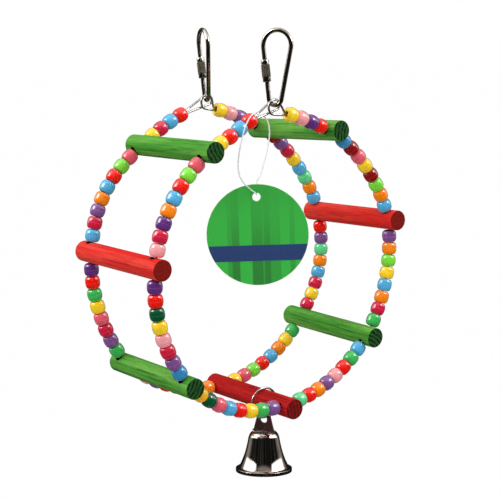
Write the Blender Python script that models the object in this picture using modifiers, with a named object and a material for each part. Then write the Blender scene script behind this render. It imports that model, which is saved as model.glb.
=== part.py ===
"""Hanging bird toy: a beaded ladder wheel with seven wooden perches, two screw links, a bell and a tag.

Metres, +Z up. The origin is the top of the near link's bow, on its inside, where it hangs. The perches
run along Y, from the near hoop in the plane y = 0 to the far hoop.
"""

import math

import bmesh
import bpy
from mathutils import Matrix, Vector

# Perches: wooden dowels, numbered round the wheel from the near link's left side
PERCH_COUNT = 7
PERCH_DIAMETER = 0.0127
PERCH_OVERHANG = 0.00835
PERCH_EDGE = 0.0006
PERCH_SIDES = 16
PERCH_DYES = ("green", "red", "green", "red", "green", "red", "green")

# Beads: barrels strung on the wires, fused into runs that end at a perch or at an eye
BEADS_BETWEEN_PERCHES = 8
BEADS_AT_EYES = 4
BEAD_LENGTH = 0.008
BEAD_DIAMETER = 0.009
BEAD_SHOULDER_DIAMETER = 0.0084
BEAD_SHOULDER = 0.0016
BEAD_WAIST_DIAMETER = 0.0062
BEAD_BORE = 0.004
BEAD_SIDES = 8

# Hoops: one wire each, open at the top, with both ends bent back into eyes
HOOP_SPACING = 0.0712
HOOP_GAP = 0.020
END_LIFT = math.radians(5.5)
HOOP_WIRE = 0.0014
WIRE_POINTS_PER_STEP = 8
EYE_RISE = 0.0084
EYE_SIDEWAYS = 0.0044
EYE_SEAT = 0.0032
SHORT_EYE_REACH = 0.0052
SHORT_EYE_DROP = 0.0054
LONG_EYE_REACH = 0.0040
LONG_EYE_DROP = 0.0030
EYE_TAIL = 0.005
EYE_SPREAD = 0.0045
EYE_OFFSET = 0.00085
WHEEL_LEAN = math.radians(4.3)

# Links: pear-shaped quick links with a sleeve nut across the gap in one leg
LINK_WIRE = 0.0025
LINK_BOW_RADIUS = 0.00885
LINK_BEND_RADIUS = 0.004
LINK_HEIGHT = 0.0468
LINK_GAP = 0.005
LINK_THREAD = 0.002
NUT_START = 0.0077
NUT_LENGTH = 0.013
NUT_DIAMETER = 0.0049
NUT_COLLAR_DIAMETER = 0.0044
NUT_GROOVE_DIAMETER = 0.0041
NUT_UPPER_COLLAR = 0.0022
NUT_LOWER_COLLAR = 0.0027
NUT_GROOVE = 0.0005
NUT_CHAMFER = 0.0003
NEAR_LINK_TURN = math.radians(31.2)
FAR_LINK_TURN = math.radians(-15)

# Bell: ring round the lowest perch, hanger, cup, staple and clapper
RING_WIRE = 0.0014
RING_INNER_RADIUS = 0.00885
RING_FROM_NEAR_HOOP = 0.0232
RING_SLIT = 0.0005
BELL_TURN = math.radians(30)
HANGER_THICKNESS = 0.001
HANGER_TOP_WIDTH = 0.0094
HANGER_BASE_WIDTH = 0.014
HANGER_HOLE_DIAMETER = 0.0046
HANGER_RIM = 0.0018
HANGER_CORNER = 0.0026
HANGER_HEIGHT = 0.0117
HANGER_FOOT_DEPTH = 0.0064
HANGER_FOOT_WIDTH = 0.0148
HANGER_FOOT_THICKNESS = 0.0008
CUP_HEIGHT = 0.0232
CUP_CROWN_RADIUS = 0.0086
CUP_MOUTH_RADIUS = 0.0153
CUP_LIP_RADIUS = 0.0174
CUP_LIP_HEIGHT = 0.0013
CUP_SHOULDER = 0.0016
CUP_WALL = 0.0008
STAPLE_WIRE = 0.001
STAPLE_HALF_WIDTH = 0.0019
STAPLE_CLINCH = 0.0008
STAPLE_DROP = 0.003
CLAPPER_BALL_DIAMETER = 0.006
CLAPPER_SHANK_DIAMETER = 0.0012
CLAPPER_EYE_WIRE = 0.001
CLAPPER_BELOW_RIM = 0.0055

# Tag: card disc that hangs on a plastic loop from the near hoop's long eye
TAG_DIAMETER = 0.0612
TAG_THICKNESS = 0.0008
TAG_HOLE_DIAMETER = 0.0048
TAG_HOLE_ABOVE_CENTRE = 0.0229
TAG_DROP = 0.0469
TAG_TURN = math.radians(-36.4)
TAG_ROLL = math.radians(1.8)
TAG_PIVOT_ALONG_EYE = 0.11
TAG_LOOP_DIAMETER = 0.0008
TAG_LOOP_ARCH = 0.0014
TAG_LOCK_DIAMETER = 0.0022
TAG_LOCK_LENGTH = 0.003
TAG_LOCK_ABOVE_HOLE = 0.004

# Clearance between pieces that touch on the real toy, and in bores that a wire runs through
CLEARANCE = 0.0003
PERCH_HOLE_CLEARANCE = 0.0014

MERGE = 0.00001
FINE_STEP = 0.0004

# Sizes worked out from the ones above
PERCH_LENGTH = HOOP_SPACING + 2 * PERCH_OVERHANG
STRUNG_PERCH = PERCH_DIAMETER + 2 * CLEARANCE
BEADS_ON_HOOP = (PERCH_COUNT - 1) * BEADS_BETWEEN_PERCHES + 2 * BEADS_AT_EYES
HOOP_RADIUS = (PERCH_COUNT * STRUNG_PERCH + BEADS_ON_HOOP * BEAD_LENGTH + HOOP_GAP) / math.tau
PERCH_STEP = (BEADS_BETWEEN_PERCHES * BEAD_LENGTH + STRUNG_PERCH) / HOOP_RADIUS
GAP_HALF_ANGLE = HOOP_GAP / 2 / HOOP_RADIUS
MOUTH_SLOPE = GAP_HALF_ANGLE + END_LIFT
WHEEL_CENTRE = Vector((-EYE_SIDEWAYS, HOOP_SPACING / 2, -(HOOP_RADIUS + EYE_RISE)))

LINK_CENTRE_DISTANCE = LINK_HEIGHT - LINK_WIRE - LINK_BOW_RADIUS - LINK_BEND_RADIUS
BOW_CENTRE_Z = -(LINK_BOW_RADIUS - LINK_WIRE / 2)
BEND_CENTRE_Z = BOW_CENTRE_Z - LINK_CENTRE_DISTANCE
SADDLE_Z = BEND_CENTRE_Z - LINK_BEND_RADIUS
LEG_SLANT = math.asin((LINK_BOW_RADIUS - LINK_BEND_RADIUS) / LINK_CENTRE_DISTANCE)
LEG_LENGTH = LINK_CENTRE_DISTANCE * math.cos(LEG_SLANT)

RING_RADIUS = RING_INNER_RADIUS + RING_WIRE / 2
RING_CENTRE_DROP = RING_INNER_RADIUS - PERCH_DIAMETER / 2 - CLEARANCE
RING_BOTTOM_DROP = RING_CENTRE_DROP + RING_RADIUS
HOLE_CENTRE_Z = RING_WIRE / 2 + CLEARANCE - HANGER_HOLE_DIAMETER / 2
HANGER_TOP_Z = RING_WIRE / 2 + CLEARANCE + HANGER_RIM
HANGER_BASE_Z = HANGER_TOP_Z - HANGER_HEIGHT
CROWN_Z = HANGER_BASE_Z - CLEARANCE
RIM_Z = CROWN_Z - CUP_HEIGHT
STAPLE_BAR_Z = CROWN_Z - CUP_WALL - STAPLE_DROP
STAPLE_TOP_Z = HANGER_BASE_Z + HANGER_FOOT_THICKNESS + CLEARANCE + STAPLE_WIRE / 2
CLAPPER_EYE_RADIUS = STAPLE_WIRE / 2 + CLEARANCE + CLAPPER_EYE_WIRE / 2
BALL_DROP = STAPLE_BAR_Z - (RIM_Z - CLAPPER_BELOW_RIM + CLAPPER_BALL_DIAMETER / 2)

# Colours, as red, green and blue, then roughness and metallic
BEAD_COLOURS = {
    "red": (0.80, 0.03, 0.03),
    "dark_red": (0.48, 0.01, 0.03),
    "orange": (0.95, 0.24, 0.02),
    "yellow": (0.95, 0.62, 0.04),
    "lime": (0.45, 0.80, 0.10),
    "green": (0.05, 0.55, 0.12),
    "light_blue": (0.10, 0.45, 0.80),
    "blue": (0.03, 0.22, 0.60),
    "purple": (0.22, 0.07, 0.40),
    "magenta": (0.65, 0.04, 0.30),
    "rose": (0.85, 0.12, 0.28),
    "pink": (0.90, 0.38, 0.48),
}
DYES = {"green": (0.07, 0.25, 0.05), "red": (0.50, 0.03, 0.03)}
STEEL = ((0.55, 0.54, 0.52), 0.25, 1.0)
CHROME = ((0.70, 0.68, 0.66), 0.08, 1.0)
DARK_STEEL = ((0.22, 0.20, 0.20), 0.35, 1.0)
CARD = ((0.03, 0.30, 0.06), 0.6, 0.0)
CLEAR_PLASTIC = ((0.85, 0.88, 0.88), 0.3, 0.0)

# Bead colours in order round each hoop, from the near link's left side, one row for each run
FAR_RUNS = (
    "red light_blue magenta yellow",
    "rose lime red blue orange purple magenta blue",
    "purple red green yellow pink magenta purple green",
    "red pink purple red rose green red orange",
    "yellow rose lime red blue orange yellow green",
    "magenta yellow magenta blue orange green purple red",
    "blue orange green blue yellow magenta purple dark_red",
    "red purple pink yellow",
)
NEAR_RUNS = (
    "red light_blue red yellow",
    "rose lime red blue orange purple magenta pink",
    "purple red green yellow pink magenta purple blue",
    "orange green pink blue red yellow green purple",
    "lime red orange purple pink red green light_blue",
    "green magenta orange blue yellow lime orange purple",
    "light_blue orange lime dark_red yellow pink red blue",
    "red purple pink yellow",
)


def clear_scene():
    """Removes every object of the open file, and the meshes and curves they leave."""
    for obj in list(bpy.data.objects):
        bpy.data.objects.remove(obj)
    for store in (bpy.data.meshes, bpy.data.curves):
        for data in list(store):
            store.remove(data)


def new_collection(name):
    collection = bpy.data.collections.new(name)
    bpy.context.scene.collection.children.link(collection)
    return collection


def new_material(name, colour, roughness, metallic):
    material = bpy.data.materials.get(name)
    if material:
        return material
    material = bpy.data.materials.new(name)
    material.use_nodes = True
    shader = material.node_tree.nodes["Principled BSDF"]
    shader.inputs["Base Color"].default_value = (*colour, 1.0)
    shader.inputs["Roughness"].default_value = roughness
    shader.inputs["Metallic"].default_value = metallic
    return material


def add_object(name, data, collection, parent=None, location=(0, 0, 0), rotation=(0, 0, 0), material=None):
    """One object in the collection, placed under its parent and given its material."""
    obj = bpy.data.objects.new(name, data)
    collection.objects.link(obj)
    obj.parent = parent
    obj.location = location
    obj.rotation_euler = rotation
    if material:
        data.materials.append(material)
    return obj


def evaluated_mesh(obj):
    """The object's mesh with its modifiers applied and its loose caps welded."""
    bpy.context.view_layer.update()
    graph = bpy.context.evaluated_depsgraph_get()
    mesh = bpy.data.meshes.new_from_object(obj.evaluated_get(graph))
    shape = bmesh.new()
    shape.from_mesh(mesh)
    bmesh.ops.remove_doubles(shape, verts=shape.verts, dist=MERGE)
    bmesh.ops.recalc_face_normals(shape, faces=shape.faces)
    shape.to_mesh(mesh)
    shape.free()
    return mesh


def apply_modifiers(obj):
    """Replaces the object's data by its evaluated mesh."""
    mesh = evaluated_mesh(obj)
    obj.modifiers.clear()
    if obj.type == "MESH":
        obj.data = mesh
        return obj
    solid = bpy.data.objects.new(obj.name + "_solid", mesh)
    obj.users_collection[0].objects.link(solid)
    solid.parent = obj.parent
    solid.matrix_local = obj.matrix_local
    name = obj.name
    bpy.data.objects.remove(obj)
    solid.name = name
    return solid


def smooth_shade(obj, angle=35):
    obj.data.shade_smooth()
    obj.data.set_sharp_from_angle(angle=math.radians(angle))


def combine(obj, other, operation):
    """Joins or cuts one mesh with another by an exact Boolean, and removes the other."""
    modifier = obj.modifiers.new(operation.lower(), "BOOLEAN")
    modifier.operation = operation
    modifier.object = other
    modifier.solver = "EXACT"
    apply_modifiers(obj)
    bpy.data.objects.remove(other)


def cylinder(name, diameter, length, axis, sides, collection, parent=None, location=(0, 0, 0)):
    """A closed cylinder centred on its location, along X, Y or Z."""
    shape = bmesh.new()
    turn = {"X": Matrix.Rotation(math.pi / 2, 4, "Y"), "Y": Matrix.Rotation(math.pi / 2, 4, "X")}
    bmesh.ops.create_cone(
        shape, cap_ends=True, segments=sides, radius1=diameter / 2, radius2=diameter / 2,
        depth=length, matrix=turn.get(axis, Matrix.Identity(4)),
    )
    mesh = bpy.data.meshes.new(name)
    shape.to_mesh(mesh)
    shape.free()
    return add_object(name, mesh, collection, parent, location)


def wire(name, points, diameter, collection, parent, material, resolution=1):
    """A round wire along the points, closed at both ends."""
    curve = bpy.data.curves.new(name, "CURVE")
    curve.dimensions = "3D"
    curve.bevel_depth = diameter / 2
    curve.bevel_resolution = resolution
    curve.use_fill_caps = True
    spline = curve.splines.new("POLY")
    spline.points.add(len(points) - 1)
    for place, point in zip(spline.points, points):
        place.co = (*point, 1.0)
        place.tilt = 0.0
    return add_object(name, curve, collection, parent, material=material)


def turned(name, profile, steps, collection, parent, location=(0, 0, 0), rotation=(0, 0, 0), material=None):
    """A shape turned round Z from (radius, height) points that run down its outer side."""
    mesh = bpy.data.meshes.new(name)
    edges = [(i, i + 1) for i in range(len(profile) - 1)]
    mesh.from_pydata([(radius, 0, height) for radius, height in profile], edges, [])
    obj = add_object(name, mesh, collection, parent, location, rotation, material)
    screw = obj.modifiers.new("turn", "SCREW")
    screw.axis = "Z"
    screw.steps = screw.render_steps = steps
    screw.use_merge_vertices = True
    screw.merge_threshold = MERGE
    apply_modifiers(obj)
    smooth_shade(obj)
    return obj


def rounded(points, rounds=2):
    """The points with their corners cut again and again, which leaves a smooth bend at each."""
    for _ in range(rounds):
        cut = [points[0]]
        for start, end in zip(points, points[1:]):
            cut += [start.lerp(end, 0.25), start.lerp(end, 0.75)]
        points = cut + [points[-1]]
    return points


def spaced(points, step):
    """Points along the same route, evenly spaced and about a step apart."""
    lengths = [(b - a).length for a, b in zip(points, points[1:])]
    total = sum(lengths)
    count = max(2, round(total / step))
    result, passed, index = [points[0]], 0.0, 0
    for i in range(1, count):
        target = total * i / count
        while passed + lengths[index] < target:
            passed += lengths[index]
            index += 1
        result.append(points[index].lerp(points[index + 1], (target - passed) / lengths[index]))
    return result + [points[-1]]


def thinned(points, longest, turn=math.radians(18)):
    """The finely spaced points with those left out that add little, so that bends keep the most."""
    kept, turned_by, gone = [points[0]], 0.0, 0.0
    for before, point, after in zip(points, points[1:], points[2:]):
        turned_by += (point - before).angle(after - point)
        gone += (point - before).length
        if turned_by >= turn or gone >= longest:
            kept.append(point)
            turned_by, gone = 0.0, 0.0
    return kept + [points[-1]]


def on_hoop(angle, outwards=0.0, y=0.0):
    """A point of the wheel, by its angle from straight below the centre and its distance off the hoop."""
    radius = HOOP_RADIUS + outwards
    centre = WHEEL_CENTRE
    point = Vector((centre.x + radius * math.sin(angle), y, centre.z - radius * math.cos(angle)))
    lift = end_lift(angle)
    if lift:
        pivot = on_hoop(math.copysign(perch_angle(PERCH_COUNT), angle), 0.0, y)
        point = pivot + Matrix.Rotation(lift, 3, "Y") @ (point - pivot)
    return point


def end_lift(angle):
    """How far the hoop is turned up here about its first or last perch: only beyond them."""
    return math.copysign(END_LIFT, angle) if abs(angle) > perch_angle(PERCH_COUNT) else 0.0


def perch_angle(number):
    return (number - (PERCH_COUNT + 1) / 2) * PERCH_STEP


def eye_mouth(side):
    """Where a wire comes out of the last bead: the place, the way out, and half the way between strands."""
    place = on_hoop(side * (math.pi - GAP_HALF_ANGLE))
    way_out = Vector((-side * math.cos(MOUTH_SLOPE), 0, math.sin(MOUTH_SLOPE)))
    outwards = Vector((side * math.sin(MOUTH_SLOPE), 0, math.cos(MOUTH_SLOPE)))
    return place, way_out, outwards * (HOOP_WIRE + CLEARANCE) / 2


def beside_other_eye(point, side):
    """How far off the hoop's plane a wire is at this point, so that the two eyes pass side by side."""
    place, way_out, _ = eye_mouth(side)
    share = min(1.0, max(0.0, (point - place).dot(way_out) / EYE_SPREAD))
    return -side * EYE_OFFSET * share * share * (3 - 2 * share)


def eye_route(side, hoop_y):
    """Points of one wire eye, from its tail in the bead bore to the strand that goes on round the hoop.

    The eye lies in the hoop's plane. From the upper strand it goes over the link's bend on a round
    seat, turns back in half an ellipse and returns as the lower strand. side is 1 right, -1 left.
    """
    reach, drop = (SHORT_EYE_REACH, SHORT_EYE_DROP) if side > 0 else (LONG_EYE_REACH, LONG_EYE_DROP)
    mouth, way_out, strand = eye_mouth(side)
    upper, lower = mouth + strand, mouth - strand
    lead = way_out * HOOP_WIRE
    corner = upper + lead
    route = [upper - way_out * EYE_TAIL, corner]

    seat_from = math.atan2(corner.z, corner.x) + (math.tau if side < 0 else 0)
    seat_from += side * math.acos(EYE_SEAT / corner.length)
    arc_points = 4
    for i in range(arc_points + 1):
        turn = seat_from + (math.pi / 2 - seat_from) * i / arc_points
        route.append(Vector((EYE_SEAT * math.cos(turn), 0, EYE_SEAT * math.sin(turn))))

    tip = Vector((-side * reach * 0.35, 0, (EYE_SEAT - drop) / 2))
    tip_points = 8
    for i in range(tip_points + 1):
        turn = math.pi * i / tip_points
        sideways = -side * reach * 0.65 * math.sin(turn)
        route.append(tip + Vector((sideways, 0, (EYE_SEAT + drop) / 2 * math.cos(turn))))
    route += [lower + lead, lower - lead]

    route = spaced(rounded(route), FINE_STEP)
    for point in route:
        point.y = hoop_y + beside_other_eye(point, side)
    return thinned(route, 2 * HOOP_WIRE)


def hoop_wire(name, hoop_y, collection, parent, material):
    """One hoop's wire: long eye on the left, round through beads and perches, short eye on the right."""
    end_angle = math.pi - GAP_HALF_ANGLE
    first, last = perch_angle(1), perch_angle(PERCH_COUNT)
    steps_at_eye = WIRE_POINTS_PER_STEP // 2
    inset = -(HOOP_WIRE + CLEARANCE) / 2
    route = eye_route(-1, hoop_y)
    for i in range(1, steps_at_eye):
        share = i / steps_at_eye
        route.append(on_hoop(-end_angle + (first + end_angle) * share, inset * (1 - share), hoop_y))
    count = WIRE_POINTS_PER_STEP * (PERCH_COUNT - 1)
    route += [on_hoop(first + (last - first) * i / count, 0.0, hoop_y) for i in range(count + 1)]
    for i in range(1, steps_at_eye):
        share = i / steps_at_eye
        route.append(on_hoop(last + (end_angle - last) * share, inset * share, hoop_y))
    route += reversed(eye_route(1, hoop_y))
    return wire(name, route, HOOP_WIRE, collection, parent, material)


def bead_run(name, start_angle, hoop_y, colours, collection, parent):
    """Beads side by side as one bored body, bent to the hoop, from the start angle onwards."""
    half = len(colours) * BEAD_LENGTH / 2
    waist, shoulder, belly = BEAD_WAIST_DIAMETER / 2, BEAD_SHOULDER_DIAMETER / 2, BEAD_DIAMETER / 2
    profile = [(waist, -half)]
    for i in range(len(colours)):
        low = -half + i * BEAD_LENGTH
        profile += [(shoulder, low + BEAD_SHOULDER), (belly, low + BEAD_LENGTH / 2)]
        profile += [(shoulder, low + BEAD_LENGTH - BEAD_SHOULDER), (waist, low + BEAD_LENGTH)]
    profile += [(BEAD_BORE / 2, half - i * BEAD_LENGTH) for i in range(len(colours) + 1)]

    shape = bmesh.new()
    rings = []
    for radius, along in profile:
        bend = along / HOOP_RADIUS
        ring = []
        for j in range(BEAD_SIDES):
            turn = math.tau * j / BEAD_SIDES
            off_centre = HOOP_RADIUS + radius * math.cos(turn)
            ring.append(shape.verts.new((
                off_centre * math.cos(bend) - HOOP_RADIUS, radius * math.sin(turn),
                off_centre * math.sin(bend))))
        rings.append(ring)
    names = list(dict.fromkeys(colours))
    for i, ring in enumerate(rings):
        next_ring = rings[(i + 1) % len(rings)]
        middle = (profile[i][1] + profile[(i + 1) % len(rings)][1]) / 2
        bead = min(len(colours) - 1, int((middle + half) / BEAD_LENGTH))
        for j in range(BEAD_SIDES):
            k = (j + 1) % BEAD_SIDES
            face = shape.faces.new((ring[j], ring[k], next_ring[k], next_ring[j]))
            face.material_index = names.index(colours[bead])
    bmesh.ops.recalc_face_normals(shape, faces=shape.faces)
    mesh = bpy.data.meshes.new(name)
    shape.to_mesh(mesh)
    shape.free()
    for colour in names:
        mesh.materials.append(new_material("bead_" + colour, BEAD_COLOURS[colour], 0.18, 0.0))

    middle_angle = start_angle + half / HOOP_RADIUS
    place = on_hoop(middle_angle, 0.0, hoop_y)
    turn = math.pi / 2 - middle_angle + end_lift(middle_angle)
    run = add_object(name, mesh, collection, parent, place, (0, turn, 0))
    smooth_shade(run)


def build_links(collection, near, far, steel):
    """Both link bodies and their nuts, which differ only in how far they are turned."""
    for side, parent, turn in (("near", near, NEAR_LINK_TURN), ("far", far, FAR_LINK_TURN)):
        height = 0.0 if side == "near" else -SADDLE_Z
        frame = add_object(side + "_link_frame", None, collection, parent, (0, 0, height), (0, 0, turn))
        wire(side + "_link", link_route(), LINK_WIRE, collection, frame, steel, resolution=2)
        top = leg_point(NUT_START)
        turned(
            side + "_link_nut", nut_profile(), 12, collection, frame, top, (-LEG_SLANT, 0, 0), steel
        )


def leg_point(distance, side=1):
    """A point on a leg's axis, measured down from where the leg leaves the bow."""
    across = LINK_BOW_RADIUS * math.cos(LEG_SLANT) - distance * math.sin(LEG_SLANT)
    z = BOW_CENTRE_Z - LINK_BOW_RADIUS * math.sin(LEG_SLANT) - distance * math.cos(LEG_SLANT)
    return Vector((0, side * across, z))


def link_route():
    """The link's wire from below the gap, round the bend, up the whole leg and round the bow."""
    gap_start = NUT_START + LINK_THREAD
    route = [leg_point(gap_start + LINK_GAP)]
    half_turn = math.pi / 2 + LEG_SLANT
    bend_points = 10
    for i in range(bend_points + 1):
        turn = (math.pi / 2 - LEG_SLANT) * (1 - 2 * i / bend_points)
        route.append(Vector((
            0, LINK_BEND_RADIUS * math.sin(turn), BEND_CENTRE_Z - LINK_BEND_RADIUS * math.cos(turn))))
    bow_points = 16
    for i in range(bow_points + 1):
        turn = -half_turn + 2 * half_turn * i / bow_points
        route.append(Vector((
            0, LINK_BOW_RADIUS * math.sin(turn), BOW_CENTRE_Z + LINK_BOW_RADIUS * math.cos(turn))))
    route.append(leg_point(gap_start))
    return route


def nut_profile():
    """The sleeve nut: collar, groove, knurled barrel and collar, with a bore for the link's wire."""
    bore, edge = LINK_WIRE / 2 + CLEARANCE, NUT_CHAMFER
    barrel, collar, groove = NUT_DIAMETER / 2, NUT_COLLAR_DIAMETER / 2, NUT_GROOVE_DIAMETER / 2
    barrel_top = -NUT_UPPER_COLLAR - NUT_GROOVE
    barrel_base = -NUT_LENGTH + NUT_LOWER_COLLAR
    return [
        (bore, 0), (collar - edge, 0), (collar, -edge), (collar, -NUT_UPPER_COLLAR),
        (groove, -NUT_UPPER_COLLAR), (groove, barrel_top), (barrel, barrel_top),
        (barrel, barrel_base), (collar, barrel_base), (collar, -NUT_LENGTH + edge),
        (collar - edge, -NUT_LENGTH), (bore, -NUT_LENGTH), (bore, 0),
    ]


def build_perches(collection, wheel):
    """Seven equal dowels, each drilled across for both hoop wires."""
    dowel = cylinder("perch_blank", PERCH_DIAMETER, PERCH_LENGTH, "Y", PERCH_SIDES, collection)
    bevel = dowel.modifiers.new("rounded_ends", "BEVEL")
    bevel.width = PERCH_EDGE
    bevel.segments = 2
    bevel.limit_method = "ANGLE"
    bevel.angle_limit = math.radians(60)
    apply_modifiers(dowel)
    hole = HOOP_WIRE + 2 * PERCH_HOLE_CLEARANCE
    for y in (-HOOP_SPACING / 2, HOOP_SPACING / 2):
        drill = cylinder("drill", hole, 2 * PERCH_DIAMETER, "X", 8, collection, location=(0, y, 0))
        combine(dowel, drill, "DIFFERENCE")
    smooth_shade(dowel)
    for number, dye in enumerate(PERCH_DYES, start=1):
        angle = perch_angle(number)
        perch = add_object(
            "perch_%d" % number, dowel.data.copy(), collection, wheel,
            on_hoop(angle, 0.0, WHEEL_CENTRE.y), (0, -angle, 0),
            new_material("wood_" + dye, DYES[dye], 0.6, 0.0),
        )
        perch.data.name = perch.name
    bpy.data.objects.remove(dowel)


def build_hoops(collection, wheel, steel):
    """Each hoop's wire and its eight runs of beads."""
    for side, hoop_y, runs in (("near", 0.0, NEAR_RUNS), ("far", HOOP_SPACING, FAR_RUNS)):
        hoop_wire(side + "_hoop_wire", hoop_y, collection, wheel, steel)
        for number, row in enumerate(runs):
            if number == 0:
                start = -(math.pi - GAP_HALF_ANGLE)
            else:
                start = perch_angle(number) + STRUNG_PERCH / 2 / HOOP_RADIUS
            bead_run("%s_beads_%d" % (side, number), start, hoop_y, row.split(), collection, wheel)


def build_bell(collection, wheel, steel, chrome, dark):
    """The ring round the lowest perch, and the bell that hangs on it."""
    lowest = (PERCH_COUNT + 1) / 2
    place = on_hoop(perch_angle(lowest), 0.0, RING_FROM_NEAR_HOOP)
    ring_frame = add_object("bell_ring_frame", None, collection, wheel, place, (0, WHEEL_LEAN, 0))
    slit = RING_SLIT / RING_RADIUS / 2
    start = math.radians(-50)
    ring_points = 28
    route = []
    for i in range(ring_points + 1):
        turn = start + slit + (math.tau - 2 * slit) * i / ring_points
        route.append(Vector((
            RING_RADIUS * math.sin(turn), 0, RING_RADIUS * math.cos(turn) - RING_CENTRE_DROP)))
    wire("bell_ring", route, RING_WIRE, collection, ring_frame, steel)

    bell = add_object(
        "bell_frame", None, collection, ring_frame, (0, 0, -RING_BOTTOM_DROP), (0, 0, BELL_TURN)
    )
    build_hanger(collection, bell, dark)
    cup = turned("bell_cup", cup_profile(), 28, collection, bell, material=chrome)
    drill_staple_holes(cup, CROWN_Z, collection, bell)
    build_staple(collection, bell, steel)
    build_clapper(collection, bell, chrome)


def drill_staple_holes(obj, z, collection, frame):
    """Two holes for the staple's legs, through the wall at this height."""
    hole = STAPLE_WIRE + 2 * CLEARANCE
    for x in (-STAPLE_HALF_WIDTH, STAPLE_HALF_WIDTH):
        drill = cylinder(
            "drill", hole, 4 * HANGER_FOOT_THICKNESS, "Z", 8, collection, frame, (x, 0, z)
        )
        combine(obj, drill, "DIFFERENCE")
    smooth_shade(obj)


def build_hanger(collection, frame, dark):
    """A flat tab, narrower at its rounded top, with the ring's hole and a foot on each side."""
    top, base, corner = HANGER_TOP_WIDTH / 2, HANGER_BASE_WIDTH / 2, HANGER_CORNER
    tab_base = HANGER_BASE_Z + HANGER_FOOT_THICKNESS / 2
    corner_points = 4
    right = []
    for i in range(corner_points + 1):
        turn = math.pi / 2 * (1 - i / corner_points)
        right.append((top - corner + corner * math.cos(turn), HANGER_TOP_Z - corner + corner * math.sin(turn)))
    right.append((base, tab_base))
    outline = [Vector((x, z, 0)) for x, z in right] + [Vector((-x, z, 0)) for x, z in reversed(right)]
    tab = flat_plate(
        "bell_hanger", outline, (0, HOLE_CENTRE_Z), HANGER_HOLE_DIAMETER, HANGER_THICKNESS, 16, collection
    )
    tab.parent = frame
    shape = bmesh.new()
    size = Matrix.Diagonal((HANGER_FOOT_DEPTH, HANGER_FOOT_WIDTH, HANGER_FOOT_THICKNESS, 1))
    bmesh.ops.create_cube(shape, size=1, matrix=size)
    mesh = bpy.data.meshes.new("foot")
    shape.to_mesh(mesh)
    shape.free()
    foot = add_object("foot", mesh, collection, frame, (0, 0, HANGER_BASE_Z + HANGER_FOOT_THICKNESS / 2))
    combine(tab, foot, "UNION")
    tab.data.materials.clear()
    tab.data.materials.append(dark)
    drill_staple_holes(tab, HANGER_BASE_Z, collection, frame)


def flat_plate(name, outline, hole_centre, hole_diameter, thickness, hole_points, collection):
    """A flat outline in Y and Z with one round hole, as thick as given along X."""
    curve = bpy.data.curves.new(name, "CURVE")
    curve.dimensions = "2D"
    curve.fill_mode = "BOTH"
    curve.extrude = thickness / 2
    radius = hole_diameter / 2
    hole = [
        Vector((hole_centre[0] + radius * math.cos(math.tau * i / hole_points),
                hole_centre[1] + radius * math.sin(math.tau * i / hole_points), 0))
        for i in range(hole_points)
    ]
    for points in (outline, hole):
        spline = curve.splines.new("POLY")
        spline.points.add(len(points) - 1)
        for place, point in zip(spline.points, points):
            place.co = (*point, 1.0)
        spline.use_cyclic_u = True
    plate = add_object(name, curve, collection)
    plate = apply_modifiers(plate)
    stand_up = Matrix(((0, 0, 1, 0), (1, 0, 0, 0), (0, 1, 0, 0), (0, 0, 0, 1)))
    plate.data.transform(stand_up)
    return plate


def cup_profile():
    """The bell's wall as one outline: flat crown, round shoulder, flared side and a lip that juts out."""
    side_depth = CUP_HEIGHT - CUP_LIP_HEIGHT
    flare_points, shoulder_points, lip_points = 8, 3, 4

    def side_radius(depth):
        share = depth / side_depth
        return CUP_CROWN_RADIUS + (CUP_MOUTH_RADIUS - CUP_CROWN_RADIUS) * (share + share * share) / 2

    shoulder_centre = side_radius(CUP_SHOULDER) - CUP_SHOULDER
    outline = [(0, CROWN_Z)]
    for i in range(shoulder_points + 1):
        turn = math.pi / 2 * i / shoulder_points
        outline.append((
            shoulder_centre + CUP_SHOULDER * math.sin(turn),
            CROWN_Z - CUP_SHOULDER + CUP_SHOULDER * math.cos(turn),
        ))
    depths = [
        CUP_SHOULDER + (side_depth - CUP_SHOULDER) * i / flare_points for i in range(1, flare_points + 1)
    ]
    outline += [(side_radius(depth), CROWN_Z - depth) for depth in depths]
    nose = CUP_LIP_HEIGHT / 2
    for i in range(lip_points + 1):
        turn = math.pi / 2 - math.pi * i / lip_points
        outline.append((
            CUP_LIP_RADIUS - nose + nose * math.cos(turn), RIM_Z + nose + nose * math.sin(turn)))
    outline += [(side_radius(depth) - CUP_WALL, CROWN_Z - depth) for depth in reversed(depths)]
    outline += [(shoulder_centre, CROWN_Z - CUP_WALL), (0, CROWN_Z - CUP_WALL)]
    return outline


def build_staple(collection, frame, steel):
    """A wire staple up through crown and feet, its ends bent outwards on top."""
    half, end = STAPLE_HALF_WIDTH, STAPLE_HALF_WIDTH + STAPLE_CLINCH + STAPLE_WIRE
    corners = [
        Vector((-end, 0, STAPLE_TOP_Z)), Vector((-half, 0, STAPLE_TOP_Z)), Vector((-half, 0, STAPLE_BAR_Z)),
        Vector((half, 0, STAPLE_BAR_Z)), Vector((half, 0, STAPLE_TOP_Z)), Vector((end, 0, STAPLE_TOP_Z)),
    ]
    wire("bell_staple", bent(corners, STAPLE_WIRE), STAPLE_WIRE, collection, frame, steel)


def bent(corners, radius, points=4):
    """The route through the corners with each corner replaced by an arc of about this radius."""
    route = [corners[0]]
    for before, corner, after in zip(corners, corners[1:], corners[2:]):
        back, ahead = (before - corner).normalized(), (after - corner).normalized()
        for i in range(points + 1):
            share = i / points
            start, end = corner + back * radius, corner + ahead * radius
            route.append(start.lerp(corner, share).lerp(corner.lerp(end, share), share))
    return route + [corners[-1]]


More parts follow.
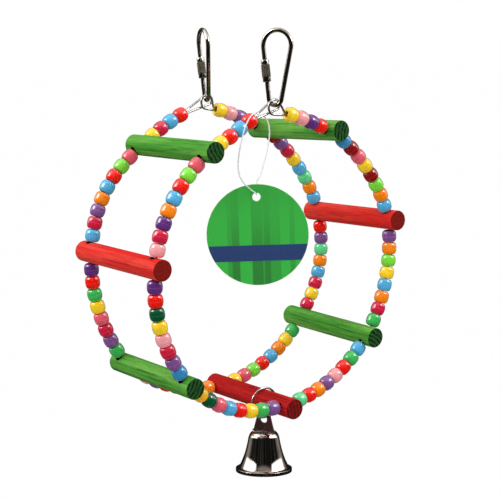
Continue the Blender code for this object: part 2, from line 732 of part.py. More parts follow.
def build_clapper(collection, bell, chrome):
    """An eye round the staple's bar, a shank and a ball, as one piece."""
    frame = add_object("clapper_frame", None, collection, bell, (0, 0, STAPLE_BAR_Z))
    ball_shape = bmesh.new()
    bmesh.ops.create_uvsphere(
        ball_shape, u_segments=16, v_segments=10, radius=CLAPPER_BALL_DIAMETER / 2,
        matrix=Matrix.Translation((0, 0, -BALL_DROP)),
    )
    mesh = bpy.data.meshes.new("bell_clapper")
    ball_shape.to_mesh(mesh)
    ball_shape.free()
    clapper = add_object("bell_clapper", mesh, collection, frame)
    shank_length = BALL_DROP - CLAPPER_EYE_RADIUS
    shank = cylinder(
        "shank", CLAPPER_SHANK_DIAMETER, shank_length, "Z", 8, collection, frame,
        (0, 0, -CLAPPER_EYE_RADIUS - shank_length / 2),
    )
    combine(clapper, shank, "UNION")
    eye_points = 12
    ring = [
        Vector((0, CLAPPER_EYE_RADIUS * math.sin(math.tau * i / eye_points),
                CLAPPER_EYE_RADIUS * math.cos(math.tau * i / eye_points)))
        for i in range(eye_points)
    ]
    eye = wire("eye", ring, CLAPPER_EYE_WIRE, collection, frame, None)
    eye.data.splines[0].use_cyclic_u = True
    combine(clapper, apply_modifiers(eye), "UNION")
    clapper.data.materials.clear()
    clapper.data.materials.append(chrome)
    smooth_shade(clapper)


def build_tag(collection, wheel, card, plastic):
    """The card disc, its thin loop through the near hoop's long eye, and the loop's lock behind it."""
    pivot = tag_pivot()
    frame = add_object("tag_frame", None, collection, wheel, pivot, (0, WHEEL_LEAN, 0))
    hole = Vector((0, 0, -TAG_DROP))
    centre = hole - Vector((0, math.sin(TAG_ROLL), math.cos(TAG_ROLL))) * TAG_HOLE_ABOVE_CENTRE
    rim_points = 48
    outline = [
        Vector((centre.y + TAG_DIAMETER / 2 * math.cos(math.tau * i / rim_points),
                centre.z + TAG_DIAMETER / 2 * math.sin(math.tau * i / rim_points), 0))
        for i in range(rim_points)
    ]
    tag = flat_plate(
        "tag_card", outline, (0, hole.z), TAG_HOLE_DIAMETER, TAG_THICKNESS, 16, collection
    )
    tag.parent = frame
    tag.rotation_euler = (0, 0, TAG_TURN + math.pi / 2)
    tag.data.materials.append(card)

    across = Matrix.Rotation(TAG_TURN, 3, "Z") @ Vector((1, 0, 0))
    behind = Matrix.Rotation(TAG_TURN, 3, "Z") @ Vector((0, 1, 0))
    lock_off = behind * (TAG_THICKNESS / 2 + CLEARANCE + TAG_LOCK_DIAMETER / 2)
    lock_centre = hole + lock_off + Vector((0, 0, TAG_LOCK_ABOVE_HOLE + TAG_LOCK_LENGTH / 2))
    lock = cylinder(
        "tag_lock", TAG_LOCK_DIAMETER, TAG_LOCK_LENGTH, "Z", 10, collection, frame, lock_centre
    )
    lock.data.materials.append(plastic)
    smooth_shade(lock)
    route = loop_route(hole, across, behind, lock_centre)
    wire("tag_loop", route, TAG_LOOP_DIAMETER, collection, frame, plastic)


def tag_pivot():
    """The point of the long eye's lower strand that the tag's loop hangs on."""
    mouth, _, strand = eye_mouth(-1)
    under = Vector((LONG_EYE_REACH * 0.35, 0, -LONG_EYE_DROP))
    pivot = (mouth - strand).lerp(under, TAG_PIVOT_ALONG_EYE)
    pivot.y = beside_other_eye(pivot, -1)
    return pivot


def loop_route(hole, across, behind, lock_centre):
    """The tag loop, from the lock's top behind the card over the eye, and in front of it to the hole.

    The places were chosen by hand, from the eye's strand at the origin: the back strand bows to the
    right, the front one goes over the first beads and bows to the left.
    """
    half_lock = Vector((0, 0, TAG_LOCK_LENGTH / 2 + CLEARANCE))
    arch = TAG_LOOP_ARCH
    through = hole + Vector((0, 0, TAG_HOLE_DIAMETER / 2 - TAG_LOOP_DIAMETER))
    route = [lock_centre + half_lock, lock_centre + half_lock + Vector((0.0003, 0.0001, 0.0018))]
    route += [Vector(place) for place in (
        (0.0048, 0.0019, -0.0341), (0.0080, 0.0022, -0.0248), (0.0101, 0.0023, -0.0185),
        (0.0113, 0.0023, -0.0122), (0.0113, 0.0023, -0.0058), (0.0096, 0.0023, -0.0014),
        (0.0062, 0.0022, 0.0012), (0.0026, 0.0018, 0.0010),
    )]
    arch_points = 6
    for i in range(arch_points + 1):
        turn = math.pi * i / arch_points
        route.append(Vector((0.0006 - 0.0012 * i / arch_points, arch * math.cos(turn), arch * math.sin(turn))))
    route += [Vector(place) for place in (
        (-0.0015, -0.0033, 0.0026), (-0.0050, -0.0049, 0.0038), (-0.0093, -0.0058, 0.0016),
        (-0.0127, -0.0062, -0.0026), (-0.0148, -0.0060, -0.0083), (-0.0160, -0.0048, -0.0159),
        (-0.0163, -0.0036, -0.0225), (-0.0156, -0.0024, -0.0290), (-0.0128, -0.0014, -0.0352),
        (-0.0084, -0.0006, -0.0393), (-0.0042, -0.0004, -0.0425),
    )]
    route += [
        through - behind * 0.0012 + Vector((0, 0, 0.0005)), through - behind * 0.0005 - Vector((0, 0, 0.0001)),
        through + behind * 0.0005 - Vector((0, 0, 0.0001)), through + behind * 0.0012 + Vector((0, 0, 0.0004)),
        Vector((lock_centre.x, lock_centre.y, hole.z + 0.0026)), lock_centre - half_lock,
    ]
    return thinned(spaced(rounded(route, 3), FINE_STEP), 3 * TAG_LOOP_DIAMETER)


def main():
    clear_scene()
    collection = new_collection("hanging_bird_toy")
    steel = new_material("steel", *STEEL)
    chrome = new_material("chrome", *CHROME)
    dark = new_material("dark_steel", *DARK_STEEL)

    near = add_object("near_link_hang", None, collection)
    wheel = add_object("wheel_pivot", None, collection, near, (0, 0, SADDLE_Z), (0, -WHEEL_LEAN, 0))
    far = add_object("far_link_pivot", None, collection, wheel, (0, HOOP_SPACING, 0), (0, WHEEL_LEAN, 0))
    build_links(collection, near, far, steel)
    build_perches(collection, wheel)
    build_hoops(collection, wheel, steel)
    build_bell(collection, wheel, steel, chrome, dark)
    build_tag(collection, wheel, new_material("card", *CARD), new_material("clear_plastic", *CLEAR_PLASTIC))


main()
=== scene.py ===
"""Hanging bird toy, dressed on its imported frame.

The part is a ladder wheel of seven dyed perches between two beaded wire hoops. It hangs on two
screw links, carries a bell on a ring round the lowest perch and has a round card tag on a thin loop.
Lengths are in metres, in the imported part's frame: the origin is the inside top of the near link's
bow, +Y runs along the perches from the near hoop to the far one, and +Z is up.
"""

from __future__ import annotations

import logging
import math
import random
from collections.abc import Callable, Sequence
from dataclasses import dataclass, field
from enum import Enum

import bmesh
import bpy
from mathutils import Matrix, Vector

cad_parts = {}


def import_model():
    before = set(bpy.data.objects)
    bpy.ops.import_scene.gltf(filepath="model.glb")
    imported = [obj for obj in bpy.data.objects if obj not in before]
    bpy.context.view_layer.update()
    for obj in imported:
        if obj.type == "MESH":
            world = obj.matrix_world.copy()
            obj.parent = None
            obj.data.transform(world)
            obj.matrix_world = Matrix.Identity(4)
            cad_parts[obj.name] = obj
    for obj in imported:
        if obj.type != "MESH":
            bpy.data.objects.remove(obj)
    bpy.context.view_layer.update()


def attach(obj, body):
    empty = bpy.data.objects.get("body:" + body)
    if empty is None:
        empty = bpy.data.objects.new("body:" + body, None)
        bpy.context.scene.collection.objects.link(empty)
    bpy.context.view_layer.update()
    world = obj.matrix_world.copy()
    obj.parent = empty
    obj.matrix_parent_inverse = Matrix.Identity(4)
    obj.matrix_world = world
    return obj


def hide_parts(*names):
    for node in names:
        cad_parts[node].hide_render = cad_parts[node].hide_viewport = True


LOG = logging.getLogger("bird_toy")

Node = bpy.types.Node
NodeTree = bpy.types.NodeTree
Socket = bpy.types.NodeSocket
Sockets = dict[str, Socket]
Material = bpy.types.Material
Mesh = bpy.types.Mesh
Piece = bpy.types.Object
Shape = bmesh.types.BMesh
Corner = bmesh.types.BMVert
Point2 = tuple[float, float]
Linear = tuple[float, float, float, float]
Screen = tuple[int, int, int]

MILLIMETRE = 0.001


# Colour and node helpers


def srgb(red: float, green: float, blue: float) -> Linear:
    """Turns a screen colour into the linear colour that shaders use.

    Args:
        red: Red, from 0 to 255.
        green: Green, from 0 to 255.
        blue: Blue, from 0 to 255.

    Returns:
        The linear colour with full alpha.
    """

    def channel(value: float) -> float:
        """One channel of the colour."""
        share = value / 255
        return share / 12.92 if share <= 0.04045 else ((share + 0.055) / 1.055) ** 2.4

    return channel(red), channel(green), channel(blue), 1.0


def grey(level: float) -> Linear:
    """A linear grey."""
    return level, level, level, 1.0


class Graph:
    """A node tree that is filled in by short calls."""

    def __init__(self, tree: NodeTree) -> None:
        """Takes the tree of a material, a world or a group."""
        self.tree = tree

    def node(
        self, kind: str, inputs: dict[str | int, object] | None = None, **settings: object
    ) -> Node:
        """Adds a node.

        Args:
            kind: Blender's name of the node type, such as ShaderNodeMix.
            inputs: Values or output sockets, by input name or number.
            **settings: Properties of the node itself.

        Returns:
            The new node.
        """
        made = self.tree.nodes.new(kind)
        for name, value in settings.items():
            setattr(made, name, value)
        self.feed(made, inputs or {})
        return made

    def feed(self, node: Node, inputs: dict[str | int, object]) -> None:
        """Sets inputs of a node, or links those for which an output is given.

        Args:
            node: The node.
            inputs: Values or output sockets, by input name or number.
        """
        for name, value in inputs.items():
            if isinstance(value, Socket):
                self.tree.links.new(value, node.inputs[name])
            else:
                node.inputs[name].default_value = value

    def group(self, tree: NodeTree, inputs: dict[str, object]) -> Node:
        """Places a node group with values of its own."""
        return self.node("ShaderNodeGroup", inputs, node_tree=tree)

    def math(self, operation: str, first: object, second: object = 0.0) -> Socket:
        """Adds a Math node and returns its output."""
        return self.node("ShaderNodeMath", {0: first, 1: second}, operation=operation).outputs[0]

    def spread(
        self, value: object, low: float, high: float, to_low: float = 0.0, to_high: float = 1.0
    ) -> Socket:
        """Maps a value from one range to another, smoothly and clamped.

        Args:
            value: The value.
            low: Start of its range.
            high: End of its range.
            to_low: What the start becomes.
            to_high: What the end becomes.

        Returns:
            The mapped value.
        """
        inputs = {
            "Value": value, "From Min": low, "From Max": high, "To Min": to_low, "To Max": to_high}
        made = self.node("ShaderNodeMapRange", inputs, interpolation_type="SMOOTHSTEP")
        return made.outputs["Result"]

    def mix(self, share: object, first: object, second: object) -> Socket:
        """Mixes two colours, by the share of the second, and returns the result."""
        inputs = {0: share, 6: first, 7: second}
        return self.node("ShaderNodeMix", inputs, data_type="RGBA").outputs[2]

    def noise(
        self, vector: object, scale: float = 1.0, detail: float = 3.0, roughness: float = 0.5
    ) -> Socket:
        """Adds a noise texture over a vector and returns its value.

        Args:
            vector: Where it is read.
            scale: Its fineness.
            detail: Its octaves.
            roughness: How much the finer ones count.

        Returns:
            The value, from 0 to 1.
        """
        inputs = {"Vector": vector, "Scale": scale, "Detail": detail, "Roughness": roughness}
        return self.node("ShaderNodeTexNoise", inputs).outputs["Fac"]

    def moved(self, vector: object, shift: object) -> Socket:
        """Adds two vectors."""
        inputs = {0: vector, 1: shift}
        return self.node("ShaderNodeVectorMath", inputs, operation="ADD").outputs[0]

    def stretched(self, vector: object, x: float, y: float, z: float) -> Socket:
        """Scales a vector along each axis."""
        inputs = {0: vector, 1: (x, y, z)}
        return self.node("ShaderNodeVectorMath", inputs, operation="MULTIPLY").outputs[0]

    def steps(self, value: object, stops: Sequence[tuple[float, Linear]]) -> Socket:
        """Adds a colour ramp whose colours change in hard steps.

        Args:
            value: The ramp's input.
            stops: Start and colour of each step, in order.

        Returns:
            The colour output.
        """
        made = self.node("ShaderNodeValToRGB", {"Fac": value})
        made.color_ramp.interpolation = "CONSTANT"
        elements = made.color_ramp.elements
        while len(elements) < len(stops):
            elements.new(1.0)
        for element, (place, colour) in zip(elements, stops):
            element.position = place
            element.color = colour
        return made.outputs["Color"]


Fill = Callable[[Graph, Sockets], dict[str, object]]


def shader_group(
    name: str, inputs: dict[str, object], outputs: dict[str, str], fill: Fill
) -> NodeTree:
    """Builds a shader node group once.

    Args:
        name: The group's name.
        inputs: Default of each input, by name. A tuple of three is a vector, of four a colour.
        outputs: Socket type of each output, by name.
        fill: Adds the nodes, from the graph and the inputs, and returns each output's socket.

    Returns:
        The group's node tree.
    """
    tree = bpy.data.node_groups.new(name, "ShaderNodeTree")
    for label, value in inputs.items():
        size = len(value) if isinstance(value, tuple) else 1
        kind = {1: "NodeSocketFloat", 3: "NodeSocketVector", 4: "NodeSocketColor"}[size]
        socket = tree.interface.new_socket(name=label, in_out="INPUT", socket_type=kind)
        socket.default_value = value
    for label, kind in outputs.items():
        tree.interface.new_socket(name=label, in_out="OUTPUT", socket_type=kind)
    graph = Graph(tree)
    entry, leave = graph.node("NodeGroupInput"), graph.node("NodeGroupOutput")
    made = fill(graph, {label: entry.outputs[label] for label in inputs})
    for label, socket in made.items():
        tree.links.new(socket, leave.inputs[label])
    return tree


# Shared effects


class Effects:
    """The node groups that several finishes use."""

    def __init__(self) -> None:
        """Builds the groups."""
        seeded = {"Vector": (0.0, 0.0, 0.0), "Seed": 0.0}
        number, colour = "NodeSocketFloat", "NodeSocketColor"
        self.handling = shader_group(
            "handling_marks", {**seeded, "Scale": 900.0, "Roughness": 0.2, "Amount": 0.08},
            {"Roughness": number, "Height": number}, self._handling,
        )
        self.grain = shader_group(
            "dyed_grain", {**seeded, "Dye": grey(0.2), "Late Wood": grey(0.1), "Faded": grey(0.4)},
            {"Color": colour, "Roughness": number, "Height": number}, self._grain,
        )
        self.end_grain = shader_group(
            "sawn_end_grain", {**seeded, "Rings": 0.2, "Dye": grey(0.2), "Deep": grey(0.05)},
            {"Color": colour, "Height": number}, self._end_grain,
        )
        self.moulded = shader_group(
            "moulded_tone", {**seeded, "Colour": grey(0.5), "Deep": grey(0.3), "Pale": grey(0.8)},
            {"Color": colour, "Height": number}, self._moulded,
        )
        self.plating = shader_group(
            "plating_tone", {**seeded, "Bright": grey(0.7), "Dull": grey(0.5)},
            {"Color": colour}, self._plating,
        )

    @staticmethod
    def _shifted(graph: Graph, sockets: Sockets) -> Socket:
        """The vector moved by the seed, so that equal pieces don't look alike.

        Args:
            graph: The group's graph.
            sockets: Its inputs.

        Returns:
            The moved vector.
        """
        seed = sockets["Seed"]
        parts = {0: seed, 1: graph.math("MULTIPLY", seed, 1.7), 2: seed}
        return graph.moved(sockets["Vector"], graph.node("ShaderNodeCombineXYZ", parts).outputs[0])

    def _handling(self, graph: Graph, sockets: Sockets) -> dict[str, object]:
        """Smudges and hairline scratches that change the gloss.

        Args:
            graph: The group's graph.
            sockets: Its inputs.

        Returns:
            Its outputs, by name.
        """
        place = self._shifted(graph, sockets)
        inputs = {0: place, 3: sockets["Scale"]}
        scaled = graph.node("ShaderNodeVectorMath", inputs, operation="SCALE").outputs[0]
        smudge = graph.noise(scaled, 0.35, 4.0, 0.6)
        hair = graph.noise(graph.stretched(scaled, 0.4, 0.4, 7.0), 1.0, 2.0, 0.7)
        lines = graph.spread(hair, 0.66, 0.74)
        smudge, scratch = graph.math("MULTIPLY", smudge, 0.8), graph.math("MULTIPLY", lines, 0.5)
        mask = graph.math("SUBTRACT", graph.math("ADD", smudge, scratch), 0.4)
        change = graph.math("MULTIPLY", mask, sockets["Amount"])
        return {"Roughness": graph.math("ADD", sockets["Roughness"], change), "Height": lines}

    def _grain(self, graph: Graph, sockets: Sockets) -> dict[str, object]:
        """Dye that takes unevenly along the grain: streaks, pores and faded fibres.

        Args:
            graph: The group's graph.
            sockets: Its inputs.

        Returns:
            Its outputs, by name.
        """
        place = self._shifted(graph, sockets)
        broad = graph.noise(graph.stretched(place, 170.0, 9.0, 170.0), 1.0, 4.0, 0.55)
        fine = graph.noise(graph.stretched(place, 900.0, 26.0, 900.0), 1.0, 5.0, 0.65)
        pores = graph.noise(graph.stretched(place, 2400.0, 110.0, 2400.0), 1.0, 2.0)
        pores = graph.spread(pores, 0.60, 0.72)
        colour = graph.mix(graph.spread(broad, 0.36, 0.68), sockets["Dye"], sockets["Faded"])
        colour = graph.mix(graph.spread(fine, 0.48, 0.70, 0.0, 0.8), colour, sockets["Late Wood"])
        colour = graph.mix(graph.math("MULTIPLY", pores, 0.55), colour, sockets["Late Wood"])
        rough = graph.spread(fine, 0.3, 0.7, 0.55, 0.72)
        fibres, dips = graph.math("MULTIPLY", fine, 0.6), graph.math("MULTIPLY", pores, 0.5)
        height = graph.math("SUBTRACT", fibres, dips)
        return {"Color": colour, "Roughness": rough, "Height": height}

    def _end_grain(self, graph: Graph, sockets: Sockets) -> dict[str, object]:
        """A sawn end that has drunk the dye: growth rings, saw lines and open pores.

        Args:
            graph: The group's graph.
            sockets: Its inputs.

        Returns:
            Its outputs, by name.
        """
        place = self._shifted(graph, sockets)
        pith = graph.moved(sockets["Vector"], (0.024, 0.0, 0.003))
        rings = graph.node(
            "ShaderNodeTexWave",
            {"Vector": graph.stretched(pith, 1.0, 0.0, 1.0), "Scale": 125.0, "Distortion": 2.2,
             "Detail": 2.0, "Detail Scale": 2.0},
            wave_type="RINGS", rings_direction="Y", wave_profile="SIN",
        ).outputs["Fac"]
        saw = graph.noise(graph.stretched(place, 300.0, 0.0, 1700.0), 1.0, 3.0, 0.6)
        pores = graph.noise(graph.stretched(place, 2600.0, 0.0, 2600.0), 1.0, 2.0)
        pores = graph.spread(pores, 0.55, 0.7)
        patches = graph.noise(graph.stretched(place, 420.0, 0.0, 520.0), 1.0, 4.0, 0.6)
        patches = graph.spread(patches, 0.4, 0.7)
        dark = graph.math("MULTIPLY", rings, sockets["Rings"])
        dark = graph.math("ADD", dark, graph.math("MULTIPLY", graph.spread(saw, 0.4, 0.65), 0.2))
        dark = graph.math("ADD", dark, graph.math("MULTIPLY", patches, 0.35))
        colour = graph.mix(graph.math("MINIMUM", dark, 1.0), sockets["Dye"], sockets["Deep"])
        colour = graph.mix(graph.math("MULTIPLY", pores, 0.4), colour, sockets["Deep"])
        return {"Color": colour, "Height": graph.math("SUBTRACT", saw, pores)}

    def _moulded(self, graph: Graph, sockets: Sockets) -> dict[str, object]:
        """Moulded plastic: slow flow marks, and the parting line round the middle.

        Args:
            graph: The group's graph.
            sockets: Its inputs.

        Returns:
            Its outputs, by name.
        """
        place = self._shifted(graph, sockets)
        flow = graph.noise(graph.stretched(place, 240.0, 240.0, 420.0), 1.0, 3.0, 0.55)
        deeper = graph.spread(flow, 0.35, 0.7, 0.0, 0.5)
        colour = graph.mix(deeper, sockets["Colour"], sockets["Deep"])
        along = graph.node("ShaderNodeSeparateXYZ", {0: sockets["Vector"]}).outputs["Z"]
        middle = graph.spread(graph.math("ABSOLUTE", along), 0.00006, 0.00022, 1.0, 0.0)
        colour = graph.mix(graph.math("MULTIPLY", middle, 0.3), colour, sockets["Pale"])
        waves, line = graph.math("MULTIPLY", flow, 0.35), graph.math("MULTIPLY", middle, 0.5)
        return {"Color": colour, "Height": graph.math("ADD", waves, line)}

    def _plating(self, graph: Graph, sockets: Sockets) -> dict[str, object]:
        """Plated metal whose tone drifts a little, with duller patches.

        Args:
            graph: The group's graph.
            sockets: Its inputs.

        Returns:
            Its outputs, by name.
        """
        place = self._shifted(graph, sockets)
        drift = graph.noise(graph.stretched(place, 160.0, 160.0, 160.0), 1.0, 4.0, 0.6)
        dull = graph.spread(drift, 0.42, 0.72)
        return {"Color": graph.mix(dull, sockets["Bright"], sockets["Dull"])}


class Finish:
    """Base of the finishes: a Principled material whose colour, gloss and relief vary."""

    name: str

    def _start(self) -> tuple[Material, Graph, Node, Sockets]:
        """Makes the material.

        Returns:
            The material, its graph and its shader, and the piece's coordinates and the number that
            its mesh carries, under the names of the groups' inputs.
        """
        material = bpy.data.materials.new(self.name)
        material.use_nodes = True
        graph = Graph(material.node_tree)
        piece = {
            "Vector": graph.node("ShaderNodeTexCoord").outputs["Object"],
            "Seed": graph.node("ShaderNodeAttribute", attribute_name="piece_seed").outputs["Fac"],
        }
        return material, graph, material.node_tree.nodes["Principled BSDF"], piece

    @staticmethod
    def _relief(
        graph: Graph, shader: Node, height: Socket, depth: float, strength: float
    ) -> None:
        """Feeds a height into the shader's normal.

        Args:
            graph: The material's graph.
            shader: Its Principled shader.
            height: The height, from 0 to 1.
            depth: How deep a height of 1 is, in metres.
            strength: Strength of the bump, from 0 to 1.
        """
        inputs = {"Height": height, "Distance": depth, "Strength": strength}
        graph.feed(shader, {"Normal": graph.node("ShaderNodeBump", inputs).outputs["Normal"]})


@dataclass(frozen=True)
class PlatedMetal(Finish):
    """Nickel or chrome plate."""

    name: str
    bright: Screen
    dull: Screen
    roughness: float
    smudges: float = 0.08
    relief: float = 0.15
    metallic: float = 1.0
    scratch_depth: float = 0.01 * MILLIMETRE

    def material(self, effects: Effects) -> Material:
        """Builds the material from the shared effects.

        Args:
            effects: The shared node groups.

        Returns:
            The material.
        """
        material, graph, shader, piece = self._start()
        tones = {"Bright": srgb(*self.bright), "Dull": srgb(*self.dull)}
        tone = graph.group(effects.plating, {**piece, **tones})
        gloss = {"Roughness": self.roughness, "Amount": self.smudges}
        marks = graph.group(effects.handling, {**piece, **gloss})
        graph.feed(shader, {
            "Base Color": tone.outputs["Color"], "Roughness": marks.outputs["Roughness"],
            "Metallic": self.metallic})
        self._relief(graph, shader, marks.outputs["Height"], self.scratch_depth, self.relief)
        return material


@dataclass(frozen=True)
class DyedWood(Finish):
    """The side of a dyed dowel."""

    name: str
    dye: Screen
    late: Screen
    faded: Screen

    def material(self, effects: Effects) -> Material:
        """Builds the material from the shared effects.

        Args:
            effects: The shared node groups.

        Returns:
            The material.
        """
        material, graph, shader, piece = self._start()
        dyes = {"Dye": srgb(*self.dye), "Late Wood": srgb(*self.late), "Faded": srgb(*self.faded)}
        wood = graph.group(effects.grain, {**piece, **dyes})
        graph.feed(shader, {
            "Base Color": wood.outputs["Color"], "Roughness": wood.outputs["Roughness"],
            "Specular IOR Level": 0.1})
        self._relief(graph, shader, wood.outputs["Height"], 0.08 * MILLIMETRE, 0.55)
        return material


@dataclass(frozen=True)
class SawnWood(Finish):
    """The sawn end of a dyed dowel, or the wall of its bore, which is dark brown as painted shade.
    """

    name: str
    dye: Screen
    deep: Screen
    rings: float = 0.2

    def material(self, effects: Effects) -> Material:
        """Builds the material from the shared effects.

        Args:
            effects: The shared node groups.

        Returns:
            The material.
        """
        material, graph, shader, piece = self._start()
        wood = graph.group(effects.end_grain, {
            **piece, "Rings": self.rings, "Dye": srgb(*self.dye), "Deep": srgb(*self.deep)})
        graph.feed(shader, {
            "Base Color": wood.outputs["Color"], "Roughness": 0.85, "Specular IOR Level": 0.1})
        self._relief(graph, shader, wood.outputs["Height"], 0.12 * MILLIMETRE, 0.6)
        return material


@dataclass(frozen=True)
class MouldedBead(Finish):
    """Glossy opaque plastic of one bead colour, with a painted reflection that pales its outline."""

    name: str
    colour: Screen
    deeper: float = 0.86
    paler: float = 0.35
    # How far the outline pales towards white: a painted reflection of the bright background, not a
    # colour of the plastic
    painted_rim_reflection: float = 0.45

    def _paled(self, share: float) -> Linear:
        """The bead's colour, brought this share of the way to white."""
        return srgb(*(value + share * (255 - value) for value in self.colour))

    def material(self, effects: Effects) -> Material:
        """Builds the material from the shared effects.

        Args:
            effects: The shared node groups.

        Returns:
            The material.
        """
        material, graph, shader, piece = self._start()
        tone = graph.group(effects.moulded, {
            **piece, "Colour": srgb(*self.colour), "Pale": self._paled(self.paler),
            "Deep": srgb(*(self.deeper * value for value in self.colour))})
        marks = graph.group(effects.handling, {**piece, "Roughness": 0.16, "Amount": 0.1})
        # Painted reflection: by Layer Weight's facing, the colour pales towards the bead's outline
        # as seen from the camera
        facing = graph.node("ShaderNodeLayerWeight", {"Blend": 0.4}).outputs["Facing"]
        rim = graph.spread(facing, 0.3, 0.95, 0.0, 0.6)
        graph.feed(shader, {
            "Base Color": graph.mix(rim, tone.outputs["Color"], self._paled(self.painted_rim_reflection)),
            "Roughness": marks.outputs["Roughness"], "IOR": 1.5, "Coat Weight": 0.9,
            "Coat Roughness": 0.06})
        self._relief(graph, shader, tone.outputs["Height"], 0.02 * MILLIMETRE, 0.12)
        return material


class CardSide(Enum):
    """The three surfaces of the tag's card, with the names of their finishes."""

    FRONT = "tag_print"
    BACK = "tag_back"
    EDGE = "tag_cut_edge"


@dataclass(frozen=True)
class TagCard(Finish):
    """Printed card: green panels with one blue band in front, bare board behind and at the edge."""

    side: CardSide
    radius: float
    band_low: float = -0.0159
    band_high: float = -0.0062

    @property
    def name(self) -> str:
        """The name of this side's finish."""
        return self.side.value

    def material(self, effects: Effects) -> Material:
        """Builds the material from the shared effects.

        Args:
            effects: The shared node groups.

        Returns:
            The material.
        """
        material, graph, shader, piece = self._start()
        fibre = graph.noise(graph.stretched(piece["Vector"], 1900.0, 1900.0, 1100.0), 1.0, 4.0, 0.6)
        if self.side is CardSide.FRONT:
            marks = graph.group(effects.handling, {**piece, "Roughness": 0.34, "Amount": 0.16})
            graph.feed(shader, {
                "Base Color": self._print(graph, piece["Vector"], fibre),
                "Roughness": marks.outputs["Roughness"], "Coat Weight": 0.25,
                "Coat Roughness": 0.22})
        else:
            tones = (srgb(236, 238, 228), srgb(222, 224, 212))
            if self.side is CardSide.EDGE:
                tones = (srgb(214, 236, 196), srgb(188, 222, 168))
            graph.feed(shader, {"Base Color": graph.mix(fibre, *tones), "Roughness": 0.8})
        self._relief(graph, shader, fibre, 0.03 * MILLIMETRE, 0.3)
        return material

    def _print(self, graph: Graph, place: Socket, fibre: Socket) -> Socket:
        """The printed front.

        Args:
            graph: The material's graph.
            place: Coordinates with X across the card, Z up it and the origin at its centre.
            fibre: The board's fibre, which shows through a little.

        Returns:
            The colour.
        """
        split = graph.node("ShaderNodeSeparateXYZ", {0: place})
        across, up = split.outputs["X"], split.outputs["Z"]
        share = graph.math("DIVIDE", graph.math("ADD", across, self.radius), 2 * self.radius)
        green, mid, deep = srgb(44, 178, 58), srgb(38, 154, 50), srgb(32, 128, 42)
        panels = graph.steps(share, [
            (0.0, green), (0.2, mid), (0.245, deep), (0.32, green), (0.44, deep), (0.545, mid),
            (0.56, deep), (0.62, mid), (0.72, green), (0.81, mid), (0.86, green)])
        colour = graph.mix(graph.spread(up, -0.024, 0.024, 1.0, 0.3), green, panels)
        colour = graph.mix(graph.spread(up, 0.004, 0.03, 0.0, 0.35), colour, mid)
        above = graph.math("GREATER_THAN", up, self.band_low)
        below = graph.math("LESS_THAN", up, self.band_high)
        colour = graph.mix(graph.math("MULTIPLY", above, below), colour, srgb(26, 56, 110))
        return graph.mix(graph.math("MULTIPLY", fibre, 0.02), colour, srgb(235, 245, 230))


@dataclass(frozen=True)
class ClearNylon(Finish):
    """The tag loop's milky, slightly clear plastic."""

    name: str

    def material(self, effects: Effects) -> Material:
        """Builds the material from the shared effects.

        Args:
            effects: The shared node groups.

        Returns:
            The material.
        """
        material, graph, shader, piece = self._start()
        marks = graph.group(effects.handling, {**piece, "Roughness": 0.3, "Amount": 0.15})
        cloud = graph.noise(piece["Vector"], 350.0)
        graph.feed(shader, {
            "Base Color": graph.mix(cloud, srgb(250, 251, 250), srgb(228, 234, 234)),
            "Roughness": marks.outputs["Roughness"], "Transmission Weight": 0.35, "IOR": 1.45})
        return material


# Mesh helpers


def new_piece(
    name: str, mesh: Mesh, materials: Sequence[Material], frame: Matrix | None = None,
    seed: float = 0.0,
) -> Piece:
    """Puts a mesh in the scene as one piece.

    Args:
        name: The piece's name.
        mesh: Its mesh, in its own frame.
        materials: Its material slots, in order.
        frame: Where its frame lies in the part's frame.
        seed: A number that sets its finish apart from that of its like.

    Returns:
        The new object.
    """
    mesh.name = name
    for material in materials:
        mesh.materials.append(material)
    attribute = mesh.attributes.new("piece_seed", "FLOAT", "POINT")
    attribute.data.foreach_set("value", [seed] * len(mesh.vertices))
    piece = bpy.data.objects.new(name, mesh)
    bpy.context.scene.collection.objects.link(piece)
    piece.matrix_world = frame or Matrix.Identity(4)
    return piece


def stand_in(piece: Piece, node: str, body: str) -> Piece:
    """Puts a piece in the place of its solid and reports it.

    Args:
        piece: The piece.
        node: The node that it replaces.
        body: The body that it rides on.

    Returns:
        The piece.
    """
    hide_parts(node)
    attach(piece, body)
    LOG.info("%s rides on %s", piece.name, body)
    return piece


def finished(shape: Shape, sharp_degrees: float = 40.0) -> Mesh:
    """Turns the faces outwards and shades them smooth, but for sharp edges.

    Args:
        shape: The mesh being built, which is freed.
        sharp_degrees: Edges that bend more than this stay sharp.

    Returns:
        The mesh.
    """
    bmesh.ops.recalc_face_normals(shape, faces=shape.faces)
    mesh = bpy.data.meshes.new("mesh")
    shape.to_mesh(mesh)
    shape.free()
    mesh.shade_smooth()
    mesh.set_sharp_from_angle(angle=math.radians(sharp_degrees))
    return mesh


def add_lathe(
    shape: Shape, profile: Sequence[Point2], steps: int, closed: bool = False,
    relief: Callable[[int, float], float] | None = None,
) -> None:
    """Adds a form turned round Z.

    Args:
        shape: The mesh to add to.
        profile: Radius and height of each point of the outline.
        steps: Number of faces round the axis.
        closed: True where the outline's end joins its start. Others begin and end on the axis.
        relief: Extra radius, from a point's number and its angle.
    """
    rings: list[list[Corner]] = []
    for number, (radius, height) in enumerate(profile):
        if radius < 1e-7:
            rings.append([shape.verts.new((0.0, 0.0, height))])
            continue
        ring = []
        for j in range(steps):
            turn = math.tau * j / steps
            size = radius + (relief(number, turn) if relief else 0.0)
            ring.append(shape.verts.new((size * math.cos(turn), size * math.sin(turn), height)))
        rings.append(ring)
    pairs = list(zip(rings, rings[1:])) + ([(rings[-1], rings[0])] if closed else [])
    for low, high in pairs:
        for j in range(steps):
            k = (j + 1) % steps
            corners = [ring[i % len(ring)] for ring, i in ((low, j), (low, k), (high, k), (high, j))]
            shape.faces.new(list(dict.fromkeys(corners)))


